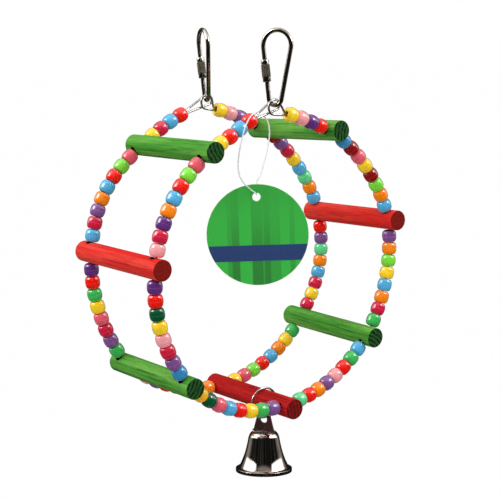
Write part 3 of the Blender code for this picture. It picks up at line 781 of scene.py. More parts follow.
def add_tube(
    shape: Shape, points: Sequence[Vector], radius: float | Callable[[float, float], float],
    sides: int, joined: bool = False,
) -> None:
    """Adds a round tube along a route, without twist and with flat ends.

    Args:
        shape: The mesh to add to.
        points: The route.
        radius: The tube's radius, or its radius from the length so far and the angle round it.
        sides: Number of faces round the tube.
        joined: True for a ring whose last point joins its first.
    """
    count = len(points)
    tangents = []
    for i in range(count):
        before = points[i - 1] if i or joined else points[i]
        after = points[(i + 1) % count] if i < count - 1 or joined else points[i]
        tangents.append((after - before).normalized())
    side = tangents[0].orthogonal().normalized()
    rings: list[list[Corner]] = []
    gone = 0.0
    for i, (point, tangent) in enumerate(zip(points, tangents)):
        if i:
            gone += (point - points[i - 1]).length
        side = (side - tangent * side.dot(tangent)).normalized()
        other = tangent.cross(side)
        ring = []
        for j in range(sides):
            turn = math.tau * j / sides
            size = radius(gone, turn) if callable(radius) else radius
            off = side * (size * math.cos(turn)) + other * (size * math.sin(turn))
            ring.append(shape.verts.new(point + off))
        rings.append(ring)
    pairs = list(zip(rings, rings[1:]))
    if joined:
        pairs.append((rings[-1], rings[0]))
    else:
        shape.faces.new(list(reversed(rings[0])))
        shape.faces.new(rings[-1])
    for low, high in pairs:
        for j in range(sides):
            k = (j + 1) % sides
            shape.faces.new((low[j], low[k], high[k], high[j]))


def rounded(points: Sequence[Vector], rounds: int = 3) -> list[Vector]:
    """Cuts the corners of a route again and again, which leaves a smooth bend at each.

    Args:
        points: The route.
        rounds: How often its corners are cut.

    Returns:
        The smooth route.
    """
    route = list(points)
    for _ in range(rounds):
        cut = [route[0]]
        for start, end in zip(route, route[1:]):
            cut += [start.lerp(end, 0.25), start.lerp(end, 0.75)]
        route = [*cut, route[-1]]
    return route


def spaced(points: Sequence[Vector], step: float) -> list[Vector]:
    """Gives points along the same route, evenly spaced and about a step apart.

    Args:
        points: The route.
        step: Length between the new points.

    Returns:
        The new points.
    """
    lengths = [(b - a).length for a, b in zip(points, points[1:])]
    total = sum(lengths)
    count = max(2, round(total / step))
    result, passed, index = [points[0].copy()], 0.0, 0
    for i in range(1, count):
        target = total * i / count
        while passed + lengths[index] < target:
            passed += lengths[index]
            index += 1
        result.append(points[index].lerp(points[index + 1], (target - passed) / lengths[index]))
    return [*result, points[-1].copy()]


def bent(corners: Sequence[Vector], radius: float, points: int = 6) -> list[Vector]:
    """Replaces each corner of a route by a bend of about this radius.

    Args:
        corners: The route.
        radius: Radius of the bends.
        points: Steps in each bend.

    Returns:
        The route with bends.
    """
    route = [corners[0]]
    for before, corner, after in zip(corners, corners[1:], corners[2:]):
        start = corner + (before - corner).normalized() * radius
        end = corner + (after - corner).normalized() * radius
        for i in range(points + 1):
            share = i / points
            route.append(start.lerp(corner, share).lerp(corner.lerp(end, share), share))
    return [*route, corners[-1]]


# The part


class Hue(Enum):
    """Bead colours as screen values."""

    RED = (240, 20, 4)
    DARK_RED = (142, 8, 8)
    ORANGE = (250, 132, 4)
    AMBER = (248, 182, 28)
    YELLOW = (252, 209, 34)
    LIME = (122, 218, 58)
    GREEN = (58, 182, 84)
    MINT = (94, 214, 140)
    DARK_GREEN = (2, 82, 48)
    SKY = (78, 170, 216)
    BLUE = (50, 136, 190)
    PURPLE = (126, 78, 142)
    VIOLET = (96, 44, 122)
    MAGENTA = (206, 24, 62)
    ROSE = (226, 84, 98)
    PINK = (230, 90, 110)
    PALE_PINK = (242, 158, 162)


# The CAD model's slot for each bead colour
SLOTS = {
    Hue.RED: "bead_red", Hue.DARK_RED: "bead_dark_red", Hue.ORANGE: "bead_orange",
    Hue.AMBER: "bead_orange", Hue.YELLOW: "bead_yellow", Hue.LIME: "bead_lime",
    Hue.GREEN: "bead_green", Hue.MINT: "bead_green", Hue.DARK_GREEN: "bead_green",
    Hue.SKY: "bead_light_blue", Hue.BLUE: "bead_blue", Hue.PURPLE: "bead_purple",
    Hue.VIOLET: "bead_purple", Hue.MAGENTA: "bead_magenta", Hue.ROSE: "bead_rose",
    Hue.PINK: "bead_pink", Hue.PALE_PINK: "bead_pink",
}

# The bead colours of each hoop, run by run from its left end
NEAR_RUNS = (
    "RED SKY RED YELLOW",
    "ROSE LIME RED SKY ORANGE VIOLET MAGENTA PALE_PINK",
    "VIOLET RED DARK_GREEN YELLOW PALE_PINK MAGENTA PURPLE BLUE",
    "AMBER DARK_GREEN PINK SKY RED YELLOW GREEN PURPLE",
    "MINT RED ORANGE PURPLE PALE_PINK RED GREEN SKY",
    "GREEN MAGENTA ORANGE SKY YELLOW LIME ORANGE PURPLE",
    "SKY ORANGE LIME DARK_RED YELLOW PINK DARK_RED BLUE",
    "RED VIOLET PALE_PINK YELLOW",
)
FAR_RUNS = (
    "RED SKY MAGENTA YELLOW",
    "ROSE LIME RED SKY ORANGE PURPLE MAGENTA SKY",
    "VIOLET RED GREEN YELLOW PINK MAGENTA PURPLE GREEN",
    "RED PALE_PINK PURPLE RED ROSE LIME RED ORANGE",
    "YELLOW ROSE LIME RED SKY ORANGE YELLOW GREEN",
    "MAGENTA YELLOW MAGENTA SKY ORANGE MINT PURPLE RED",
    "SKY ORANGE MINT SKY YELLOW MAGENTA PURPLE DARK_RED",
    "RED PURPLE PALE_PINK YELLOW",
)

# How far each hoop is bent out of round, right and up, in millimetres: at its left end, the middle
# of each run of beads, each perch between them, and its right end
NEAR_BENDS = (
    (0.2, -0.6), (0.8, -3.0), (1.0, -1.2), (0.8, -0.7), (1.2, 0.0), (-0.1, -0.1), (-1.9, -0.6),
    (-1.7, -0.2), (0.3, 1.7), (-1.2, 1.5), (-0.8, 1.1), (-0.4, 0.9), (1.1, 0.4), (0.5, -0.7),
    (0.8, -0.2), (0.9, -1.4), (0.9, -0.5),
)
FAR_BENDS = (
    (-1.5, -0.5), (-1.6, -2.1), (-0.5, -1.6), (-1.5, -0.4), (0.1, 0.3), (0.0, 0.5), (-1.9, -0.7),
    (-0.5, -0.8), (0.4, -0.8), (0.9, -0.1), (0.8, 0.0), (1.7, -1.1), (0.7, -1.4), (-1.2, -1.9),
    (0.3, -1.6), (-1.3, -1.9), (-1.5, -0.8),
)


@dataclass
class Wheel:
    """The sizes that the two hoops share, and where things lie on the leaning wheel."""

    perches: int = 7
    perch_diameter: float = 0.0127
    perch_overhang: float = 0.00835
    clearance: float = 0.0003
    bead_length: float = 0.008
    beads_between: int = 8
    beads_at_eyes: int = 4
    hoop_gap: float = 0.020
    end_lift: float = math.radians(5.5)
    hoop_spacing: float = 0.0712
    wire: float = 0.0014
    eye_rise: float = 0.0084
    eye_sideways: float = 0.0044
    lean: float = math.radians(4.3)
    saddle_z: float = -0.04305
    perch_length: float = field(init=False)
    radius: float = field(init=False)
    step: float = field(init=False)
    half_gap: float = field(init=False)
    frame: Matrix = field(init=False)

    def __post_init__(self) -> None:
        """Works out the hoop's radius and the angle between perches."""
        self.perch_length = self.hoop_spacing + 2 * self.perch_overhang
        strung = self.perch_diameter + 2 * self.clearance
        beads = (self.perches - 1) * self.beads_between + 2 * self.beads_at_eyes
        self.radius = (self.perches * strung + beads * self.bead_length + self.hoop_gap) / math.tau
        self.step = (self.beads_between * self.bead_length + strung) / self.radius
        self.half_gap = self.hoop_gap / 2 / self.radius
        self.frame = Matrix.Translation((0, 0, self.saddle_z)) @ Matrix.Rotation(-self.lean, 4, "Y")

    def on_hoop(self, angle: float, outwards: float = 0.0, y: float = 0.0) -> Vector:
        """Gives a point in the wheel's own frame.

        Args:
            angle: Angle from straight below the centre, towards +X.
            outwards: Distance outside the hoop.
            y: Place along the perches, from the near hoop.

        Returns:
            The point.
        """
        reach = self.radius + outwards
        point = Vector((
            -self.eye_sideways + reach * math.sin(angle), y,
            -(self.radius + self.eye_rise) - reach * math.cos(angle)))
        lift = self.lift(angle)
        if lift:
            pivot = self.on_hoop(math.copysign(self.perch_angle(self.perches), angle), 0.0, y)
            point = pivot + Matrix.Rotation(lift, 3, "Y") @ (point - pivot)
        return point

    def lift(self, angle: float) -> float:
        """How far the hoop's ends are turned up here, about the first or the last perch."""
        past = abs(angle) > self.perch_angle(self.perches)
        return math.copysign(self.end_lift, angle) if past else 0.0

    def perch_angle(self, number: float) -> float:
        """Angle of a perch, counted from 1 at the upper left."""
        return (number - (self.perches + 1) / 2) * self.step


@dataclass
class Bead:
    """One barrel bead with a rounded rim at each end of its bore."""

    diameter: float = 0.0094
    length: float = 0.00788
    bore: float = 0.0036
    rim: float = 0.0006
    bore_rim: float = 0.0005
    chamfer: Point2 = (0.00018, 0.00012)
    arc_points: int = 16
    steps: int = 32

    def mesh(self, chance: random.Random, stretch: float) -> Mesh:
        """Builds the bead round Z, a little different each time.

        Args:
            chance: The source of the small differences.
            stretch: How much longer than usual the bead is, to fill its place on the wire.

        Returns:
            The mesh.
        """
        half = self.length / 2 * stretch * chance.uniform(0.985, 1.0)
        wide = self.diameter / 2 * chance.uniform(0.975, 0.99)
        bulge = chance.uniform(2.25, 2.5)
        inside = self.bore / 2
        face = inside + self.rim
        outer: list[Point2] = []
        for i in range(self.arc_points + 1):
            turn = math.pi / 2 * (1 - 2 * i / self.arc_points)
            across = abs(math.cos(turn)) ** (2 / bulge)
            along = math.copysign(abs(math.sin(turn)) ** (2 / bulge), turn)
            outer.append((face + (wide - face) * across, half * along))
        wider, deeper = self.chamfer
        inner = [(inside + wider, -half + deeper), (inside, -half + self.bore_rim),
                 (inside, half - self.bore_rim), (inside + wider, half - deeper)]
        shape = bmesh.new()
        add_lathe(shape, [*outer, *inner], self.steps, closed=True)
        return finished(shape, 60.0)


@dataclass
class Hoop:
    """One hoop: its wire with two eyes, and 56 beads in runs between the perches."""

    wheel: Wheel
    side: str
    y: float
    runs: tuple[str, ...]
    bends: tuple[Point2, ...]
    seat: float = 0.0032
    short_reach: float = 0.0052
    short_drop: float = 0.0054
    long_reach: float = 0.0040
    long_drop: float = 0.0030
    tail: float = 0.005
    spread: float = 0.0045
    beside: float = 0.00085
    wire_points: int = 260
    wire_sides: int = 12
    eye_step: float = 0.0004
    bead_tilt: float = 1.6

    def bend(self, angle: float) -> Vector:
        """How far the hoop is bent aside at an angle, by a smooth curve through its bends.

        Args:
            angle: Angle from straight below the centre.

        Returns:
            The way that the wire is moved there.
        """
        wheel = self.wheel
        knots = [-(math.pi - wheel.half_gap)]
        for number in range(1, wheel.perches + 1):
            knots += [(knots[-1] + wheel.perch_angle(number)) / 2, wheel.perch_angle(number)]
        knots += [(knots[-1] + math.pi - wheel.half_gap) / 2, math.pi - wheel.half_gap]
        i = max(0, min(len(knots) - 2, sum(angle > knot for knot in knots) - 1))
        share = min(1.0, max(0.0, (angle - knots[i]) / (knots[i + 1] - knots[i])))
        a, b, c, d = (Vector(self.bends[max(0, min(len(knots) - 1, i + j))]) for j in (-1, 0, 1, 2))
        cubic = share * (3 * (b - c) + d - a)
        mixed = b + 0.5 * share * ((c - a) + share * ((2 * a - 5 * b + 4 * c - d) + cubic))
        return Vector((mixed.x, 0.0, mixed.y)) * MILLIMETRE

    def place(self, angle: float, outwards: float = 0.0) -> Vector:
        """A point of the bent hoop, in the wheel's own frame."""
        return self.wheel.on_hoop(angle, outwards, self.y) + self.bend(angle)

    def mouth(self, side: int) -> tuple[Vector, Vector, Vector]:
        """Where a wire leaves the last bead.

        Args:
            side: 1 for the right end, -1 for the left.

        Returns:
            The place, the way out, and half the way between the two strands.
        """
        slope = self.wheel.half_gap + self.wheel.end_lift
        end = side * (math.pi - self.wheel.half_gap)
        place = self.wheel.on_hoop(end) + self.bend(end)
        way_out = Vector((-side * math.cos(slope), 0, math.sin(slope)))
        outwards = Vector((side * math.sin(slope), 0, math.cos(slope)))
        return place, way_out, outwards * (self.wheel.wire + self.wheel.clearance) / 2

    def aside(self, point: Vector, side: int) -> float:
        """How far off the hoop's plane the wire is, so that the two eyes pass side by side.

        Args:
            point: A point of the eye.
            side: 1 for the right eye, -1 for the left.

        Returns:
            Its place along the perches, from the hoop's plane.
        """
        place, way_out, _ = self.mouth(side)
        share = min(1.0, max(0.0, (point - place).dot(way_out) / self.spread))
        return -side * self.beside * share * share * (3 - 2 * share)

    def eye(self, side: int) -> list[Vector]:
        """Points of one eye, from the tail in the bead to the strand that goes on round the hoop.

        Args:
            side: 1 for the right eye, -1 for the left.

        Returns:
            The points.
        """
        reach, drop = self.long_reach, self.long_drop
        if side > 0:
            reach, drop = self.short_reach, self.short_drop
        mouth, way_out, strand = self.mouth(side)
        upper, lower = mouth + strand, mouth - strand
        lead = way_out * self.wheel.wire
        corner = upper + lead
        inside = side * (math.pi - self.wheel.half_gap - self.tail / self.wheel.radius)
        tail = self.wheel.on_hoop(inside, (self.wheel.wire + self.wheel.clearance) / 2)
        route = [tail + self.bend(inside), upper, corner]
        seat_from = math.atan2(corner.z, corner.x) + (math.tau if side < 0 else 0)
        seat_from += side * math.acos(self.seat / corner.length)
        for i in range(5):
            turn = seat_from + (math.pi / 2 - seat_from) * i / 4
            route.append(Vector((self.seat * math.cos(turn), 0, self.seat * math.sin(turn))))
        tip = Vector((-side * reach * 0.35, 0, (self.seat - drop) / 2))
        for i in range(9):
            turn = math.pi * i / 8
            across = -side * reach * 0.65 * math.sin(turn)
            route.append(tip + Vector((across, 0, (self.seat + drop) / 2 * math.cos(turn))))
        route += [lower + lead, lower - lead]
        fine = spaced(rounded(route), self.eye_step)
        for point in fine:
            point.y = self.y + self.aside(point, side)
        return fine

    def build(self, steel: Material, plastics: dict[Hue, Material]) -> None:
        """Builds the wire and the beads.

        Args:
            steel: The wire's finish.
            plastics: A finish for each bead colour.
        """
        wheel = self.wheel
        end = math.pi - wheel.half_gap
        last_perch = wheel.perch_angle(wheel.perches)
        inset = (wheel.wire + wheel.clearance) / 2
        start_angle, end_angle = -end + 0.02, end - 0.02
        route = self.eye(-1)
        for i in range(1, self.wire_points):
            angle = start_angle + (end_angle - start_angle) * i / self.wire_points
            past = (abs(angle) - last_perch) / (end - last_perch)
            route.append(self.place(angle, -inset * max(0.0, past)))
        route += reversed(self.eye(1))
        shape = bmesh.new()
        add_tube(shape, route, wheel.wire / 2, self.wire_sides)
        piece = new_piece(f"{self.side}_hoop_wire_round", finished(shape), [steel], wheel.frame)
        stand_in(piece, f"{self.side}_hoop_wire", "wheel")
        self._string_beads(plastics)

    def _string_beads(self, plastics: dict[Hue, Material]) -> None:
        """Makes each run's beads one by one, in their colours.

        Args:
            plastics: A finish for each bead colour.
        """
        wheel, bead = self.wheel, Bead()
        chance = random.Random(f"{self.side} beads")
        strung_half = (wheel.perch_diameter / 2 + wheel.clearance) / wheel.radius
        step = wheel.bead_length / wheel.radius
        for run, row in enumerate(self.runs):
            start = wheel.perch_angle(run) + strung_half if run else -(math.pi - wheel.half_gap)
            for place, word in enumerate(row.split()):
                hue = Hue[word]
                angle = start + (place + 0.5) * step
                tilt = Matrix.Identity(4)
                for axis in "XY":
                    lean = math.radians(chance.uniform(-self.bead_tilt, self.bead_tilt))
                    tilt = tilt @ Matrix.Rotation(lean, 4, axis)
                spin = Matrix.Rotation(chance.uniform(0, math.tau), 4, "Z")
                ahead = self.place(angle + step / 2) - self.place(angle - step / 2)
                frame = wheel.frame @ Matrix.Translation(self.place(angle))
                frame = frame @ Matrix.Rotation(math.atan2(ahead.x, ahead.z), 4, "Y") @ tilt @ spin
                mesh = bead.mesh(chance, ahead.length / wheel.bead_length)
                seed = chance.uniform(0.0, 9.0)
                name = f"{self.side}_bead_{run}_{place + 1}"
                piece = new_piece(name, mesh, [plastics[hue]], frame, seed)
                stand_in(piece, f"{self.side}_beads_{run}", "wheel")


class Dye(Enum):
    """The dyes of the dowels, as places in the lists of their finishes."""

    GREEN = 0
    RED = 1
    DEEP_RED = 2


@dataclass
class Perches:
    """The seven dyed dowels, drilled across for the wires."""

    wheel: Wheel
    near: Hoop
    far: Hoop
    dyes: tuple[Dye, ...] = (
        Dye.GREEN, Dye.RED, Dye.GREEN, Dye.DEEP_RED, Dye.GREEN, Dye.RED, Dye.GREEN)
    turns: tuple[float, ...] = (12.0, -12.0, -10.0, 3.0, 6.0, 8.0, -8.0)
    near_rides: tuple[float, ...] = (1.15, 0.4, 1.45, 1.45, 1.45, 1.45, 1.45)
    far_rides: tuple[float, ...] = (0.55, 0.3, 1.45, 0.1, -1.45, 0.55, 0.0)
    slides: tuple[float, ...] = (0.0, 0.0, 0.0, 0.0, 0.8, 0.0, 0.0)
    hole: float = 0.0045
    flare: float = 0.0004
    flare_depth: float = 0.0009
    edge: float = 0.00055
    steps: int = 64
    rows: int = 24

    def dowel(self, number: int) -> Mesh:
        """Builds one dowel along Y, drilled off its middle where its wires run.

        Args:
            number: The perch's number.

        Returns:
            The mesh, with sawn ends and bores as the second and third material.
        """
        half, wide = self.wheel.perch_length / 2, self.wheel.perch_diameter / 2
        edge, rows = self.edge, self.rows
        profile: list[Point2] = [(0.0, -half), (wide * 0.5, -half)]
        profile += [
            (wide - edge + edge * math.sin(turn), -half + edge - edge * math.cos(turn))
            for turn in (math.pi / 2 * i / 4 for i in range(5))
        ]
        profile += [(wide, -half + edge + (2 * half - 2 * edge) * i / rows) for i in range(1, rows)]
        profile += [(radius, -height) for radius, height in reversed(profile[:7])]
        shape = bmesh.new()
        add_lathe(shape, profile, self.steps)
        bmesh.ops.rotate(shape, verts=shape.verts, matrix=Matrix.Rotation(-math.pi / 2, 3, "X"))
        blank = new_piece("dowel_blank", finished(shape), [])
        narrow, flare, straight = self.hole / 2, self.hole / 2 + self.flare, wide - self.flare_depth
        for side, ride in ((-1, self.near_rides[number - 1]), (1, self.far_rides[number - 1])):
            drill = bmesh.new()
            outline = [(narrow, straight), (flare, wide), (flare, 2 * wide), (0.0, 2 * wide)]
            below = [(radius, -height) for radius, height in reversed(outline)]
            add_lathe(drill, [*below, *outline], 24)
            y = side * self.wheel.hoop_spacing / 2 - self.slides[number - 1] * MILLIMETRE
            frame = Matrix.Translation((0, y, ride * MILLIMETRE))
            frame = frame @ Matrix.Rotation(math.pi / 2, 4, "Y")
            cutter = new_piece("drill", finished(drill), [], frame)
            cut = blank.modifiers.new("drilled", "BOOLEAN")
            cut.object, cut.operation, cut.solver = cutter, "DIFFERENCE", "EXACT"
            bpy.context.view_layer.update()
            drilled = blank.evaluated_get(bpy.context.evaluated_depsgraph_get())
            mesh = bpy.data.meshes.new_from_object(drilled)
            blank.modifiers.clear()
            blank.data = mesh
            bpy.data.objects.remove(cutter)
        mesh = blank.data
        bpy.data.objects.remove(blank)
        for face in mesh.polygons:
            along = abs(face.center.y)
            flat_end = abs(face.normal.y) > 0.8 and along > half - 0.0003
            off_axis = math.hypot(face.center.x, face.center.z)
            # The bores' walls get the third material, whose dark brown is painted shade
            bore = off_axis < wide - 0.0002 and along < half - 0.001
            face.material_index = 1 if flat_end else 2 if bore else 0
        mesh.shade_smooth()
        mesh.set_sharp_from_angle(angle=math.radians(38))
        mesh.attributes.remove(mesh.attributes["piece_seed"])
        return mesh

    def build(
        self, sides: Sequence[Material], ends: Sequence[Material], bore: Material
    ) -> None:
        """Places the dowels.

        Args:
            sides: The finish of the dowels' sides in each dye.
            ends: The finish of their sawn ends in each dye.
            bore: The finish of the drilled holes, a dark brown that paints the shade inside them.
        """
        wheel = self.wheel
        for number in range(1, wheel.perches + 1):
            angle = wheel.perch_angle(number)
            near = self.near.place(angle, self.near_rides[number - 1] * MILLIMETRE)
            far = self.far.place(angle, self.far_rides[number - 1] * MILLIMETRE)
            along = (far - near).normalized()
            middle = (near + far) / 2 + along * self.slides[number - 1] * MILLIMETRE
            frame = wheel.frame @ Matrix.Translation(middle)
            frame = frame @ Vector((0, 1, 0)).rotation_difference(along).to_matrix().to_4x4()
            frame = frame @ Matrix.Rotation(math.radians(self.turns[number - 1]) - angle, 4, "Y")
            dye = self.dyes[number - 1]
            finishes = [sides[dye.value], ends[dye.value], bore]
            name = f"perch_{number}_dowel"
            piece = new_piece(name, self.dowel(number), finishes, frame, 0.37 * number)
            stand_in(piece, f"perch_{number}", "wheel")


@dataclass
class ScrewLink:
    """A pear-shaped link of round wire with a threaded gap and a knurled sleeve nut."""

    side: str
    y: float
    turn: float
    lean: float
    wire: float = 0.0025
    bow: float = 0.00885
    bend: float = 0.004
    height: float = 0.0468
    gap: float = 0.005
    thread: float = 0.002
    thread_below: float = 0.0062
    nut_start: float = 0.0077
    nut_length: float = 0.013
    barrel: float = 0.0053
    collar: float = 0.0048
    groove: float = 0.0043
    upper_collar: float = 0.0022
    lower_collar: float = 0.0027
    clearance: float = 0.0006
    thicker: float = 0.0002
    pitch: float = 0.0007
    thread_depth: float = 0.00018
    thread_point: float = 0.00008
    wire_sides: int = 24
    nut_edge: float = 0.00035
    knurl_depth: float = 0.00024
    knurl_ridges: int = 14
    knurl_rows: int = 30
    nut_steps: int = 112
    slant: float = field(init=False)
    between: float = field(init=False)
    bow_z: float = field(init=False)

    def __post_init__(self) -> None:
        """Works out the link's outline."""
        self.between = self.height - self.wire - self.bow - self.bend
        self.slant = math.asin((self.bow - self.bend) / self.between)
        self.bow_z = -(self.bow - self.wire / 2)

    def leg(self, distance: float) -> Vector:
        """A point on the nut's leg, measured down from where it leaves the bow."""
        across = self.bow * math.cos(self.slant) - distance * math.sin(self.slant)
        down = self.bow * math.sin(self.slant) + distance * math.cos(self.slant)
        return Vector((0, across, self.bow_z - down))

    def route(self) -> list[Vector]:
        """The wire from below the gap, round the bend, up the whole leg and round the bow.

        Returns:
            The points.
        """
        gap_top = self.nut_start + self.thread
        leg_end = self.between * math.cos(self.slant)
        fine = self.thread_point
        threaded = round(self.thread_below / fine)
        route = [self.leg(gap_top + self.gap + fine * i) for i in range(threaded + 1)]
        last = gap_top + self.gap + self.thread_below
        route += [self.leg(last + (leg_end - last) * i / 8) for i in range(1, 8)]
        bend_z = self.bow_z - self.between
        for i in range(25):
            turn = (math.pi / 2 - self.slant) * (1 - 2 * i / 24)
            height = bend_z - self.bend * math.cos(turn)
            route.append(Vector((0, self.bend * math.sin(turn), height)))
        half_turn = math.pi / 2 + self.slant
        low, high = route[-1].copy(), self.leg(0.0)
        high.y = -high.y
        route += [low.lerp(high, i / 12) for i in range(1, 12)]
        for i in range(41):
            turn = -half_turn + 2 * half_turn * i / 40
            height = self.bow_z + self.bow * math.cos(turn)
            route.append(Vector((0, self.bow * math.sin(turn), height)))
        route += [self.leg(self.nut_start * i / 5) for i in range(1, 5)]
        threaded = round(self.thread / fine)
        route += [self.leg(self.nut_start + fine * i) for i in range(threaded + 1)]
        return route

    def build(self, nickel: Material, knurled: Material) -> None:
        """Builds the link and its nut.

        Args:
            nickel: The link's plated finish.
            knurled: The nut's.
        """
        frame = Matrix.Translation((0, self.y, -self.height))
        frame = frame @ Matrix.Rotation(self.lean, 4, "Y") @ Matrix.Translation((0, 0, self.height))
        frame = frame @ Matrix.Rotation(self.turn, 4, "Z")
        route = self.route()
        total = sum((b - a).length for a, b in zip(route, route[1:]))
        half = (self.wire + self.thicker) / 2

        def threaded(gone: float, turn: float) -> float:
            """The wire's radius, cut by the thread at both ends.

            Args:
                gone: Length from the wire's lower end.
                turn: Angle round it.

            Returns:
                The radius.
            """
            if self.thread_below <= gone <= total - self.thread:
                return half
            chamfer = max(0.0, 0.0003 - min(gone, total - gone))
            wave = (gone / self.pitch + turn / math.tau) % 1.0
            return half - self.thread_depth * abs(2 * wave - 1) - chamfer

        shape = bmesh.new()
        add_tube(shape, route, threaded, self.wire_sides)
        mesh, seed = finished(shape, 50.0), 1.0 + self.y * 20
        piece = new_piece(f"{self.side}_link_body", mesh, [nickel], frame, seed)
        stand_in(piece, f"{self.side}_link", f"{self.side}_link")
        self._nut(knurled, nickel, frame)

    def _nut(self, knurled: Material, nickel: Material, frame: Matrix) -> None:
        """Builds the sleeve nut with its knurl between two smooth collars.

        Args:
            knurled: Finish of the barrel.
            nickel: Finish of the collars.
            frame: Where the link lies.
        """
        bore, end = self.wire / 2 + self.clearance, self.nut_length
        edge, rows = self.nut_edge, self.knurl_rows
        barrel, collar, groove = self.barrel / 2, self.collar / 2, self.groove / 2
        top, base = -self.upper_collar - 0.0005, -end + self.lower_collar
        valley, soft, lead_in = barrel - self.knurl_depth, 0.0001, 0.0002
        profile: list[Point2] = [
            (bore + lead_in, 0), (collar - edge, 0), (collar - soft, -soft), (collar, -edge),
            (collar, -self.upper_collar + soft), (groove, -self.upper_collar), (groove, top)]
        knurl_from = len(profile)
        profile += [(valley, top + (base - top) * i / rows) for i in range(rows + 1)]
        knurl_to = len(profile)
        profile += [
            (collar, base), (collar, -end + edge), (collar - soft, -end + soft),
            (collar - edge, -end), (bore + lead_in, -end), (bore, -end + lead_in), (bore, -lead_in)]

        def knurl(number: int, turn: float) -> float:
            """Height of the diamond pattern on the barrel.

            Args:
                number: Number of the outline's point.
                turn: Angle round the nut.

            Returns:
                The height.
            """
            if not knurl_from < number < knurl_to - 1:
                return 0.0
            slant = (profile[number][1] - top) / 0.0046 * math.tau
            round_it, along = self.knurl_ridges * turn, slant * 2.4
            one, two = math.sin(round_it + along), math.sin(round_it - along)
            return self.knurl_depth * (0.5 + 0.5 * min(one, two) + 0.25 * (one + two) / 2)

        shape = bmesh.new()
        add_lathe(shape, profile, self.nut_steps, closed=True, relief=knurl)
        place = frame @ Matrix.Translation(self.leg(self.nut_start))
        place = place @ Matrix.Rotation(-self.slant, 4, "X")
        mesh = finished(shape, 55.0)
        for face in mesh.polygons:
            face.material_index = 0 if base < face.center.z < top else 1
        seed = 3.0 + self.y * 20
        piece = new_piece(f"{self.side}_link_sleeve_nut", mesh, [knurled, nickel], place, seed)
        stand_in(piece, f"{self.side}_link_nut", f"{self.side}_nut")


